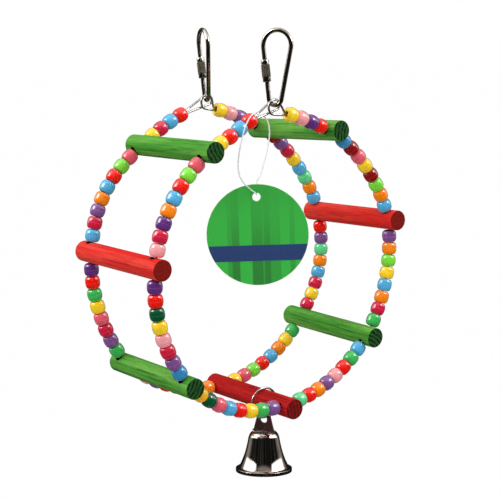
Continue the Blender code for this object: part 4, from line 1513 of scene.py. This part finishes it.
@dataclass
class Bell:
    """Ring, hanger, cup, staple and clapper on the lowest perch."""

    wheel: Wheel
    ring_wire: float = 0.0014
    ring_inner: float = 0.00885
    from_near_hoop: float = 0.0232
    slit: float = 0.0005
    turn: float = math.radians(30)
    plate: float = 0.001
    top_width: float = 0.0094
    base_width: float = 0.014
    hole: float = 0.0046
    plate_rim: float = 0.0018
    corner: float = 0.0026
    plate_height: float = 0.0117
    foot_depth: float = 0.0064
    foot_width: float = 0.0148
    foot: float = 0.0008
    cup_height: float = 0.0254
    cup_lean: float = math.radians(5.0)
    crown: float = 0.0092
    taper: float = 0.0042
    flare: float = 0.0042
    lip: float = 0.0179
    lip_height: float = 0.0023
    shoulder: float = 0.0022
    shoulder_depth: float = 0.0042
    wall: float = 0.0008
    staple_wire: float = 0.001
    staple_half: float = 0.0019
    clinch: float = 0.0008
    staple_drop: float = 0.003
    ball: float = 0.005
    shank: float = 0.0012
    eye_wire: float = 0.001
    below_rim: float = 0.0036
    clearance: float = 0.0003
    lean_axis: tuple[float, float, float] = (-0.406, 0.914, 0.0)
    slit_turn: float = math.radians(-50)
    lip_turn: float = 0.0008
    side_points: int = 30
    cup_steps: int = 128

    def __post_init__(self) -> None:
        """Works out the heights below the ring's lowest point."""
        self.ring_radius = self.ring_inner + self.ring_wire / 2
        self.centre_drop = self.ring_inner - self.wheel.perch_diameter / 2 - self.clearance
        self.hole_z = self.ring_wire / 2 + self.clearance - self.hole / 2
        self.top_z = self.ring_wire / 2 + self.clearance + self.plate_rim
        self.base_z = self.top_z - self.plate_height
        self.crown_z = self.base_z - self.clearance
        self.rim_z = self.crown_z - self.cup_height
        self.bar_z = self.crown_z - self.wall - self.staple_drop
        self.staple_top = self.base_z + self.foot + self.clearance + self.staple_wire / 2

    def build(self, steel: Material, chrome: Material, dark: Material) -> None:
        """Builds the bell's pieces.

        Args:
            steel: Finish of the ring and the staple, and of the hanger's feet as a painted
                highlight.
            chrome: Finish of the cup and the clapper.
            dark: Finish of the hanger.
        """
        perch = self.wheel.frame @ self.wheel.on_hoop(0.0, 0.0, self.from_near_hoop)
        ring_frame = Matrix.Translation(perch)
        half_slit, count = self.slit / self.ring_radius / 2, 96
        route = []
        for i in range(count + 1):
            turn = self.slit_turn + half_slit + (math.tau - 2 * half_slit) * i / count
            height = self.ring_radius * math.cos(turn) - self.centre_drop
            route.append(Vector((self.ring_radius * math.sin(turn), 0, height)))
        ring = bmesh.new()
        add_tube(ring, route, self.ring_wire / 2, 16)
        bell = ring_frame @ Matrix.Translation((0, 0, -self.centre_drop - self.ring_radius))
        bell = bell @ Matrix.Rotation(self.turn, 4, "Z")
        wire, sheet, plate = "hoop_wire_steel", "hanger_steel", "bell_chrome"
        for name, mesh, finishes, node, slot, body in (
            ("bell_split_ring", finished(ring), [steel], "bell_ring", wire, "ring"),
            ("bell_hanger_plate", self._hanger(), [dark, steel], "bell_hanger", sheet, "bell"),
            ("bell_turned_cup", self._cup(), [chrome], "bell_cup", plate, "bell"),
            ("bell_wire_staple", self._staple(), [steel], "bell_staple", wire, "bell"),
            ("bell_clapper_ball", self._clapper(), [chrome], "bell_clapper", plate, "clapper"),
        ):
            frame = ring_frame if body == "ring" else bell
            stand_in(new_piece(name, mesh, finishes, frame, len(name) * 0.3), node, body)

    def _cup(self) -> Mesh:
        """The turned cup: flat crown, round shoulder, flared side, rolled lip and thin wall.

        Returns:
            The mesh.
        """
        side_depth = self.cup_height - self.lip_height

        def side(depth: float) -> float:
            """Radius of the outside at a depth below the crown."""
            share = depth / self.cup_height
            return self.crown + self.taper * share + self.flare * share**3

        turned_in = side_depth - self.lip_turn
        centre = side(0.0) - self.shoulder
        outline: list[Point2] = [(0.0, self.crown_z), (centre * 0.5, self.crown_z)]
        for i in range(15):
            turn = math.pi / 2 * i / 14
            depth = self.shoulder_depth * (1 - math.cos(turn))
            inset = self.shoulder * (1 - math.sin(turn))
            outline.append((side(depth) - inset, self.crown_z - depth))
        straight = turned_in - self.shoulder_depth
        count = self.side_points
        depths = [self.shoulder_depth + straight * i / count for i in range(1, count + 1)]
        outline += [(side(depth), self.crown_z - depth) for depth in depths]
        nose, soft = self.lip_height, 0.0003
        start = Vector((side(turned_in), self.rim_z + nose + self.lip_turn))
        corner = Vector((side(side_depth) - 0.0001, self.rim_z + nose + 0.0001))
        ledge = Vector((self.lip - soft, self.rim_z + nose))
        for i in range(1, 8):
            share = i / 8
            outline.append(tuple(start.lerp(corner, share).lerp(corner.lerp(ledge, share), share)))
        for height, first in ((self.rim_z + nose - soft, 90.0), (self.rim_z + soft, 0.0)):
            for i in range(7):
                turn = math.radians(first - 15.0 * i)
                across = self.lip - soft + soft * math.cos(turn)
                outline.append((across, height + soft * math.sin(turn)))
        inner_start = side(turned_in) - self.wall
        ceiling = self.crown_z - self.wall
        outline.append((self.lip - 0.0014, self.rim_z + 0.00035))
        outline.append((inner_start + 0.0003, self.rim_z + 0.0014))
        outline += [(side(depth) - self.wall, self.crown_z - depth) for depth in reversed(depths)]
        outline += [(centre + 0.0004, ceiling - 0.0003), (centre * 0.8, ceiling), (0.0, ceiling)]
        shape = bmesh.new()
        add_lathe(shape, outline, self.cup_steps)
        lean = Matrix.Rotation(self.cup_lean, 3, Vector(self.lean_axis))
        bmesh.ops.rotate(shape, verts=shape.verts, cent=Vector((0, 0, self.crown_z)), matrix=lean)
        return finished(shape, 55.0)

    def _hanger(self) -> Mesh:
        """The flat tab with its hole and its feet, with broken edges; the feet take the second
        material as a painted highlight.

        Returns:
            The mesh.
        """
        top, base, corner = self.top_width / 2, self.base_width / 2, self.corner
        foot_z = self.base_z + self.foot / 2
        right: list[Point2] = []
        for i in range(9):
            turn = math.pi / 2 * (1 - i / 8)
            height = self.top_z - corner + corner * math.sin(turn)
            right.append((top - corner + corner * math.cos(turn), height))
        right.append((base, foot_z))
        outline = right + [(-x, z) for x, z in reversed(right)]
        shape = bmesh.new()
        add_plate(shape, outline, (0.0, self.hole_z), self.hole / 2, self.plate, 40)
        square = 1.2
        edges = [
            edge for edge in shape.edges if edge.is_manifold and edge.calc_face_angle(0.0) > square]
        bmesh.ops.bevel(shape, geom=edges, offset=0.00014, segments=2, affect="EDGES")
        foot = bmesh.new()
        size = Matrix.Diagonal((self.foot_depth, self.foot_width, self.foot, 1.0))
        bmesh.ops.create_cube(foot, size=1.0, matrix=Matrix.Translation((0, 0, foot_z)) @ size)
        sides = [edge for edge in foot.edges if abs(edge.verts[0].co.z - edge.verts[1].co.z) > 1e-6]
        bmesh.ops.bevel(foot, geom=sides, offset=0.0016, segments=5, affect="EDGES")
        rims = [edge for edge in foot.edges if edge.calc_face_angle(0.0) > square]
        bmesh.ops.bevel(foot, geom=rims, offset=0.00012, segments=2, affect="EDGES")
        joined = bpy.data.meshes.new("foot")
        foot.to_mesh(joined)
        foot.free()
        shape.from_mesh(joined)
        bpy.data.meshes.remove(joined)
        mesh = finished(shape)
        for face in mesh.polygons:
            # Painted highlight: the feet, bent from the same sheet as the tab, take the bright wire
            # steel
            face.material_index = 1 if face.center.z < self.base_z + self.foot + 0.00005 else 0
        return mesh

    def _staple(self) -> Mesh:
        """The wire staple through crown and feet, its ends bent outwards on top.

        Returns:
            The mesh.
        """
        half, end = self.staple_half, self.staple_half + self.clinch + self.staple_wire
        top, bar = self.staple_top, self.bar_z
        corners = [Vector((x, 0, z)) for x, z in (
            (-end, top), (-half, top), (-half, bar), (half, bar), (half, top), (end, top))]
        shape = bmesh.new()
        add_tube(shape, bent(corners, self.staple_wire, 8), self.staple_wire / 2, 14)
        return finished(shape, 50.0)

    def _clapper(self) -> Mesh:
        """The clapper: an eye round the staple's bar, a shank and a ball with its casting line.

        Returns:
            The mesh.
        """
        eye = self.staple_wire / 2 + self.clearance + self.eye_wire / 2
        ball_z = self.rim_z - self.below_rim + self.ball / 2
        turns = [math.tau * i / 40 for i in range(40)]
        ring = [
            Vector((0, eye * math.sin(turn), self.bar_z + eye * math.cos(turn))) for turn in turns]
        shape = bmesh.new()
        add_tube(shape, ring, self.eye_wire / 2, 12, joined=True)
        radius, count = self.ball / 2, 24
        neck = math.asin(self.shank / 2 / radius)
        low = self.bar_z - eye
        outline: list[Point2] = [(0.0, low), (self.shank / 2, low - 0.0001)]
        for i in range(count + 1):
            turn = neck + (math.pi - neck) * i / count
            band = 0.00008 if abs(turn - math.pi / 2) < 0.05 else 0.0
            outline.append(((radius + band) * math.sin(turn), ball_z + radius * math.cos(turn)))
        outline[-1] = (0.0, ball_z - radius)
        add_lathe(shape, outline, 40)
        return finished(shape, 50.0)


def add_plate(
    shape: Shape, outline: Sequence[Point2], hole: Point2, radius: float, thickness: float,
    hole_steps: int,
) -> None:
    """Adds a flat plate in Y and Z with one round hole, as thick as given along X.

    Args:
        shape: The mesh to add to.
        outline: Y and Z of each corner, in order.
        hole: Centre of the hole.
        radius: Radius of the hole.
        thickness: Thickness along X.
        hole_steps: Number of edges round the hole.
    """
    centre = Vector(hole)
    turns = (math.tau * i / hole_steps for i in range(hole_steps))
    rays = [Vector((math.cos(turn), math.sin(turn))) for turn in turns]
    rim: list[Vector] = []
    for ray in rays:
        best = None
        for a, b in zip(outline, [*outline[1:], outline[0]]):
            start, way = Vector(a) - centre, Vector(b) - Vector(a)
            cross = ray.x * way.y - ray.y * way.x
            if abs(cross) < 1e-12:
                continue
            far = (start.x * way.y - start.y * way.x) / cross
            along = (start.x * ray.y - start.y * ray.x) / cross
            if far > 0 and -1e-9 <= along <= 1 + 1e-9 and (best is None or far < best):
                best = far
        rim.append(centre + ray * (best or radius * 2))
    rings = []
    for x in (-thickness / 2, thickness / 2):
        inner = [
            shape.verts.new((x, hole[0] + radius * ray.x, hole[1] + radius * ray.y)) for ray in rays]
        outer = [shape.verts.new((x, point.x, point.y)) for point in rim]
        rings.append((inner, outer))
    (back_in, back_out), (front_in, front_out) = rings
    for i in range(hole_steps):
        k = (i + 1) % hole_steps
        shape.faces.new((front_in[i], front_out[i], front_out[k], front_in[k]))
        shape.faces.new((back_in[k], back_out[k], back_out[i], back_in[i]))
        shape.faces.new((back_in[i], front_in[i], front_in[k], back_in[k]))
        shape.faces.new((back_out[k], front_out[k], front_out[i], back_out[i]))


@dataclass
class Tag:
    """The round card, its thin loop through the near hoop's long eye, and the loop's lock."""

    hoop: Hoop
    diameter: float = 0.0612
    thickness: float = 0.0008
    hole: float = 0.0048
    hole_above: float = 0.0229
    drop: float = 0.0469
    turn: float = math.radians(-36.4)
    roll: float = math.radians(1.8)
    along_eye: float = 0.11
    loop_diameter: float = 0.0008
    arch: float = 0.0014
    lock_diameter: float = 0.0022
    lock_length: float = 0.003
    lock_above: float = 0.004
    clearance: float = 0.0003
    cut_edge: float = 0.00018
    card_steps: int = 144
    loop_step: float = 0.0005

    def pivot(self) -> Vector:
        """The point of the eye's lower strand that the loop hangs on, in the part's frame.

        Returns:
            The point.
        """
        mouth, _, strand = self.hoop.mouth(-1)
        mouth = mouth - self.hoop.bend(-(math.pi - self.hoop.wheel.half_gap))
        under = Vector((self.hoop.long_reach * 0.35, 0, -self.hoop.long_drop))
        point = (mouth - strand).lerp(under, self.along_eye)
        point.y = self.hoop.aside(point, -1)
        return self.hoop.wheel.frame @ point

    def build(
        self, front: Material, back: Material, edge: Material, nylon: Material
    ) -> None:
        """Builds card, loop and lock.

        Args:
            front: The printed side.
            back: The bare side.
            edge: The cut edge.
            nylon: The loop's plastic.
        """
        pivot = Matrix.Translation(self.pivot())
        hole = Vector((0, 0, -self.drop))
        facing = Matrix.Rotation(self.turn, 4, "Z")
        behind = (facing @ Vector((0, 1, 0))).normalized()
        frame = pivot @ Matrix.Translation(hole) @ facing @ Matrix.Rotation(-self.roll, 4, "Y")
        frame = frame @ Matrix.Translation((0, 0, -self.hole_above))
        card = new_piece("tag_printed_card", self._card(), [front, back, edge], frame)
        stand_in(card, "tag_card", "tag")

        lock_off = behind * (self.thickness / 2 + self.clearance + self.lock_diameter / 2)
        lock_centre = hole + lock_off + Vector((0, 0, self.lock_above + self.lock_length / 2))
        half, wide = self.lock_length / 2, self.lock_diameter / 2
        upper = [
            (0.0, half), (wide * 0.7, half), (wide * 0.93, half - 0.00015), (wide, half - 0.0004)]
        lower = [(radius, -height) for radius, height in reversed(upper)]
        shape = bmesh.new()
        add_lathe(shape, [*upper, (wide * 0.86, 0.0), *lower], 24)
        frame = pivot @ Matrix.Translation(lock_centre)
        lock = new_piece("tag_loop_lock", finished(shape, 60.0), [nylon], frame)
        stand_in(lock, "tag_lock", "loop")
        self._loop(pivot, hole, behind, lock_centre, nylon)

    def _card(self) -> Mesh:
        """The disc in X and Z, front to -Y, with its hole and a soft cut edge.

        Returns:
            The mesh.
        """
        half, steps, soft = self.thickness / 2, self.card_steps, self.cut_edge
        centre = Vector((0, self.hole_above))
        shape = bmesh.new()
        rows: list[list[Corner]] = []
        at_hole, past_hole, before_rim, at_rim = 0.0, 0.02, 0.9, 1.0
        shares = (at_hole, past_hole, 0.1, 0.3, 0.6, before_rim, at_rim)
        levels = [(share, -half) for share in shares]
        for share, y in [*levels, *((share, half) for share in reversed(shares))]:
            row = []
            depth = math.copysign(half - soft, y) if share in (at_hole, at_rim) else y
            for j in range(steps):
                turn = math.tau * j / steps
                way = Vector((math.cos(turn), math.sin(turn)))
                near, far = centre + way * (self.hole / 2), way * (self.diameter / 2)
                point = near.lerp(far, share)
                if share == past_hole:
                    point = near + (far - near).normalized() * soft
                elif share == before_rim:
                    point = near.lerp(far, 1 - soft / (far - near).length)
                row.append(shape.verts.new((point.x, depth, point.y)))
            rows.append(row)
        for i, row in enumerate(rows):
            after = rows[(i + 1) % len(rows)]
            for j in range(steps):
                k = (j + 1) % steps
                face = shape.faces.new((row[j], row[k], after[k], after[j]))
                middle = sum(vert.co.y for vert in face.verts) / 4
                flat = all(abs(abs(vert.co.y) - half) < 1e-7 for vert in face.verts)
                face.material_index = (0 if middle < 0 else 1) if flat else 2
        return finished(shape, 30.0)

    def _loop(
        self, pivot: Matrix, hole: Vector, behind: Vector, lock_centre: Vector, nylon: Material,
    ) -> None:
        """The loop, from the lock's top behind the card over the eye, and in front to the hole.

        Args:
            pivot: Where the loop hangs.
            hole: The card's hole, from the pivot.
            behind: Direction out of the card's back.
            lock_centre: The lock, from the pivot.
            nylon: The loop's plastic.
        """
        half_lock = Vector((0, 0, self.lock_length / 2 + self.clearance))
        arch = self.arch
        through = hole + Vector((0, 0, self.hole / 2 - self.loop_diameter))
        top = lock_centre + half_lock
        route = [top, top + Vector((0.0003, 0.0001, 0.0018))]
        route += [Vector(place) for place in (
            (0.0048, 0.0019, -0.0341), (0.0080, 0.0022, -0.0248), (0.0101, 0.0023, -0.0185),
            (0.0113, 0.0023, -0.0122), (0.0113, 0.0023, -0.0058), (0.0096, 0.0023, -0.0014),
            (0.0062, 0.0022, 0.0012), (0.0026, 0.0018, 0.0010))]
        shift = self.hoop.bend(-(math.pi - self.hoop.wheel.half_gap)) * (1 - self.along_eye)
        for i in range(7):
            turn = math.pi * i / 6
            across = 0.0006 - 0.0012 * i / 6
            route.append(shift + Vector((across, arch * math.cos(turn), arch * math.sin(turn))))
        route += [Vector(place) for place in (
            (-0.0015, -0.0035, 0.0026), (-0.0050, -0.0055, 0.0038), (-0.0093, -0.0067, 0.0016),
            (-0.0127, -0.0072, -0.0026), (-0.0148, -0.0071, -0.0083), (-0.0160, -0.0059, -0.0159),
            (-0.0163, -0.0044, -0.0225), (-0.0156, -0.0029, -0.0290), (-0.0128, -0.0016, -0.0352),
            (-0.0084, -0.0006, -0.0393), (-0.0042, -0.0004, -0.0425))]
        bends = ((-0.0012, 0.0005), (-0.0005, -0.0001), (0.0005, -0.0001), (0.0012, 0.0004))
        route += [through + behind * depth + Vector((0, 0, height)) for depth, height in bends]
        route += [Vector((lock_centre.x, lock_centre.y, hole.z + 0.0026)), lock_centre - half_lock]
        fine = spaced(rounded(route), self.loop_step)
        curve = bpy.data.curves.new("tag_thin_loop", "CURVE")
        curve.dimensions = "3D"
        curve.bevel_depth = self.loop_diameter / 2
        curve.bevel_resolution = 3
        curve.use_fill_caps = True
        spline = curve.splines.new("POLY")
        spline.points.add(len(fine) - 1)
        for place, point in zip(spline.points, fine):
            place.co = (*(pivot @ point), 1.0)
        curve.materials.append(nylon)
        loop = bpy.data.objects.new("tag_thin_loop", curve)
        bpy.context.scene.collection.objects.link(loop)
        stand_in(loop, "tag_loop", "loop")


# Studio


@dataclass
class Studio:
    """Camera, lamps, floor, background and the tent that polished surfaces mirror."""

    eye: tuple[float, float, float] = (-0.50466, -0.66905, 0.00426)
    pitch: float = 80.879
    yaw: float = -36.023
    lens: float = 101.07
    centre: tuple[float, float, float] = (0.003, 0.035, -0.14)
    floor_z: float = -0.95
    floor_half: float = 30.0
    fill: float = 0.52
    tent_radius: float = 1.6

    def build(self) -> None:
        """Sets up everything that isn't part of the toy."""
        self._camera()
        self._world()
        self._floor()
        self._tent()
        self._softbox("left_softbox", -76.0, 34.0, 1.1, (0.52, 0.5), 6.5)
        self._softbox("right_softbox", 74.0, 38.0, 1.1, (0.36, 0.4), 4.5)
        self._softbox("front_fill", 4.0, 28.0, 1.5, (1.2, 1.2), 8.0, mirrored=False)
        self._softbox("top_fill", -30.0, 74.0, 1.3, (1.0, 1.0), 4.5, mirrored=False)
        scene = bpy.context.scene
        scene.view_settings.view_transform = "Standard"

    def _camera(self) -> None:
        """The photograph's viewpoint."""
        data = bpy.data.cameras.new("camera")
        data.sensor_width = 36.0
        data.lens = self.lens
        camera = bpy.data.objects.new("camera", data)
        camera.location = self.eye
        camera.rotation_euler = (math.radians(self.pitch), 0.0, math.radians(self.yaw))
        bpy.context.scene.collection.objects.link(camera)
        bpy.context.scene.camera = camera

    @staticmethod
    def _seen_directly(graph: Graph) -> Socket:
        """1 for camera, mirror and clear-plastic rays, which see the background.

        Args:
            graph: The graph to add to.

        Returns:
            1 for such a ray, 0 for others.
        """
        path = graph.node("ShaderNodeLightPath")
        seen = graph.math("ADD", path.outputs["Is Camera Ray"], path.outputs["Is Glossy Ray"])
        seen = graph.math("ADD", seen, path.outputs["Is Transmission Ray"])
        return graph.math("MINIMUM", seen, 1.0)

    def _world(self) -> None:
        """A white background and a plain soft fill."""
        world = bpy.data.worlds.new("studio")
        bpy.context.scene.world = world
        world.use_nodes = True
        graph = Graph(world.node_tree)
        background = world.node_tree.nodes["Background"]
        seen = self._seen_directly(graph)
        graph.feed(background, {"Color": graph.mix(seen, grey(self.fill), grey(1.0))})

    def _floor(self) -> None:
        """A pale floor well below the hanging toy."""
        shape = bmesh.new()
        bmesh.ops.create_grid(shape, x_segments=1, y_segments=1, size=self.floor_half)
        mesh = bpy.data.meshes.new("studio_floor")
        shape.to_mesh(mesh)
        shape.free()
        floor = bpy.data.objects.new("studio_floor", mesh)
        floor.location = (0, 0, self.floor_z)
        bpy.context.scene.collection.objects.link(floor)
        material = bpy.data.materials.new("floor_paper")
        material.use_nodes = True
        graph = Graph(material.node_tree)
        shader = material.node_tree.nodes["Principled BSDF"]
        fibre = graph.noise(graph.node("ShaderNodeTexCoord").outputs["Object"], 60.0, 4.0)
        graph.feed(shader, {
            "Base Color": graph.mix(fibre, grey(0.80), grey(0.84)), "Roughness": 0.9,
            "Specular IOR Level": 0.0})
        glow = graph.node("ShaderNodeEmission", {"Color": grey(1.0), "Strength": 1.0})
        share = graph.math("MULTIPLY", self._seen_directly(graph), 0.992)
        parts = {0: share, 1: shader.outputs[0], 2: glow.outputs[0]}
        mixed = graph.node("ShaderNodeMixShader", parts)
        graph.feed(material.node_tree.nodes["Material Output"], {"Surface": mixed.outputs[0]})
        mesh.materials.append(material)

    def _towards_camera(self) -> tuple[Vector, Vector]:
        """The level direction from the toy to the camera, and the camera's right."""
        across, along = math.sin(math.radians(-self.yaw)), math.cos(math.radians(-self.yaw))
        return Vector((-across, -along, 0)), Vector((along, -across, 0))

    def _tent(self) -> None:
        """A dark tent with two white diffusers round the toy, seen only in polished surfaces."""
        radius, columns, rows = self.tent_radius, 66, 32
        shape = bmesh.new()
        grid = []
        for i in range(rows + 1):
            up = math.radians(-88 + 146 * i / rows)
            row = []
            for j in range(columns + 1):
                side = math.radians(-178 + 356 * j / columns)
                level = radius * math.cos(up)
                height = max(radius * math.sin(up), self.floor_z + 0.01 - self.centre[2])
                place = (level * math.sin(side), -level * math.cos(side), height)
                row.append(shape.verts.new(place))
            grid.append(row)
        for low, high in zip(grid, grid[1:]):
            for j in range(columns):
                shape.faces.new((low[j], low[j + 1], high[j + 1], high[j]))
        mesh = bpy.data.meshes.new("reflection_tent")
        shape.to_mesh(mesh)
        shape.free()
        tent = bpy.data.objects.new("reflection_tent", mesh)
        tent.location = self.centre
        tent.rotation_euler = (0.0, 0.0, math.radians(self.yaw))
        bpy.context.scene.collection.objects.link(tent)
        mesh.materials.append(self._tent_cloth())
        tent.visible_camera = tent.visible_diffuse = False
        tent.visible_shadow = tent.visible_transmission = False

    def _tent_cloth(self) -> Material:
        """The tent's cloth: near black in front, brown at the sides, a diffuser high on each side.

        Returns:
            The material.
        """
        material = bpy.data.materials.new("tent_cloth")
        material.use_nodes = True
        graph = Graph(material.node_tree)

        def over(value: Socket, low: float, high: float) -> Socket:
            """Rises from 0 to 1 between two angles in degrees."""
            return graph.spread(value, math.radians(low), math.radians(high))

        def under(value: Socket, low: float, high: float) -> Socket:
            """Falls from 1 to 0 between two angles in degrees."""
            return graph.spread(value, math.radians(low), math.radians(high), 1.0, 0.0)

        place = graph.node("ShaderNodeTexCoord").outputs["Object"]
        split = graph.node("ShaderNodeSeparateXYZ", {0: place}).outputs
        ahead = graph.math("MULTIPLY", split["Y"], -1.0)
        aside = graph.math("ARCTAN2", graph.math("ABSOLUTE", split["X"]), ahead)
        up = graph.math("ARCSINE", graph.math("DIVIDE", split["Z"], self.tent_radius))
        brown = graph.math("MULTIPLY", over(aside, 84, 112), under(aside, 122, 140))
        brown = graph.math("MULTIPLY", brown, over(up, -15, -10))
        turn = graph.math("ARCTAN2", split["X"], ahead)
        parts = {0: turn, 1: graph.math("MULTIPLY", up, 0.08)}
        folds = graph.node("ShaderNodeCombineXYZ", parts).outputs[0]
        streaks = graph.spread(graph.noise(folds, 7.0, 4.0, 0.65), 0.46, 0.75)
        cloth = graph.mix(streaks, grey(0.006), (0.075, 0.068, 0.060, 1.0))
        brown = graph.math("MAXIMUM", brown, over(up, 33, 42))
        cloth = graph.mix(brown, cloth, (0.30, 0.27, 0.23, 1.0))
        window = graph.math("MULTIPLY", over(aside, 42, 50), under(aside, 114, 120))
        level = graph.math("ADD", up, graph.math("MULTIPLY", aside, 0.40))
        window = graph.math("MULTIPLY", window, over(level, 46.5, 49.5))
        colour = graph.mix(window, cloth, grey(2.0))
        glow = graph.node("ShaderNodeEmission", {"Color": colour, "Strength": 1.0})
        graph.feed(material.node_tree.nodes["Material Output"], {"Surface": glow.outputs[0]})
        return material

    def _softbox(
        self, name: str, side: float, up: float, distance: float, size: Point2, power: float,
        mirrored: bool = True,
    ) -> None:
        """Adds one area lamp that faces the toy.

        Args:
            name: The lamp's name.
            side: Angle from the camera's direction, in degrees, towards its right.
            up: Angle above the level, in degrees.
            distance: Distance from the toy's centre.
            size: Width and height of the lamp.
            power: Power in watts.
            mirrored: True where shiny surfaces show the lamp.
        """
        towards, right = self._towards_camera()
        data = bpy.data.lights.new(name, "AREA")
        data.shape = "RECTANGLE"
        data.size, data.size_y = size
        data.energy = power
        lamp = bpy.data.objects.new(name, data)
        turn, rise = math.radians(side), math.radians(up)
        level = towards * math.cos(turn) + right * math.sin(turn)
        way = level * math.cos(rise) + Vector((0, 0, math.sin(rise)))
        place = Vector(self.centre) + way * distance
        lamp.location = place
        lamp.rotation_euler = (Vector(self.centre) - place).to_track_quat("-Z", "Y").to_euler()
        lamp.visible_camera = False
        lamp.visible_glossy = mirrored
        bpy.context.scene.collection.objects.link(lamp)


def main() -> None:
    """Builds the toy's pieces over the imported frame, then the studio."""
    logging.basicConfig(level=logging.INFO, format="%(name)s: %(message)s")
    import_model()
    effects = Effects()

    metals = (
        PlatedMetal("bright_wire", (206, 204, 200), (176, 174, 170), 0.28),
        PlatedMetal("nickel_plate", (196, 188, 178), (150, 142, 132), 0.12, 0.12),
        PlatedMetal("knurled_plate", (98, 90, 78), (60, 52, 44), 0.3, 0.12, metallic=0.85),
        PlatedMetal("bell_plate", (214, 208, 202), (188, 178, 168), 0.05, 0.06, relief=0.08),
        PlatedMetal("hanger_sheet", (104, 74, 70), (76, 52, 50), 0.2, 0.12, 0.3, metallic=0.6),
    )
    steel, nickel, knurled, chrome, dark = (metal.material(effects) for metal in metals)
    plastics = {
        hue: MouldedBead(f"{SLOTS[hue]}_{hue.name.lower()}", hue.value).material(effects)
        for hue in Hue}
    wood = [side.material(effects) for side in (
        DyedWood("green_dowel", (56, 132, 36), (18, 78, 18), (104, 166, 68)),
        DyedWood("red_dowel", (204, 30, 24), (140, 12, 8), (226, 76, 60)),
        DyedWood("deep_red_dowel", (158, 10, 10), (98, 3, 3), (182, 26, 24)),
    )]
    sawn = [end.material(effects) for end in (
        SawnWood("green_dowel_end", (40, 92, 38), (4, 24, 6), rings=0.75),
        SawnWood("red_dowel_end", (132, 20, 12), (74, 8, 5)),
        SawnWood("deep_red_dowel_end", (138, 14, 10), (56, 5, 4), rings=0.6),
    )]

    Studio().build()
    wheel = Wheel()
    near = Hoop(wheel, "near", 0.0, NEAR_RUNS, NEAR_BENDS)
    far = Hoop(wheel, "far", wheel.hoop_spacing, FAR_RUNS, FAR_BENDS)
    tag = Tag(near)
    card = [TagCard(side, tag.diameter / 2).material(effects) for side in CardSide]
    tag.build(*card, ClearNylon("milky_nylon").material(effects))
    LOG.info("tag built")
    for hoop in (near, far):
        hoop.build(steel, plastics)
        LOG.info("%s hoop built", hoop.side)
    # Painted shade: the bores' walls take a dark brown that stands in for the shade inside the holes
    bore = SawnWood("bore_painted_shade", (58, 26, 20), (20, 9, 8)).material(effects)
    Perches(wheel, near, far).build(wood, sawn, bore)
    LOG.info("perches built")
    for side, y, turn, lean in (("near", 0.0, 31.2, 2.4), ("far", wheel.hoop_spacing, -15.0, -4.0)):
        ScrewLink(side, y, math.radians(turn), math.radians(lean)).build(nickel, knurled)
        LOG.info("%s link built", side)
    Bell(wheel).build(steel, chrome, dark)
    LOG.info("bell built")


if __name__ == "__main__":
    main()
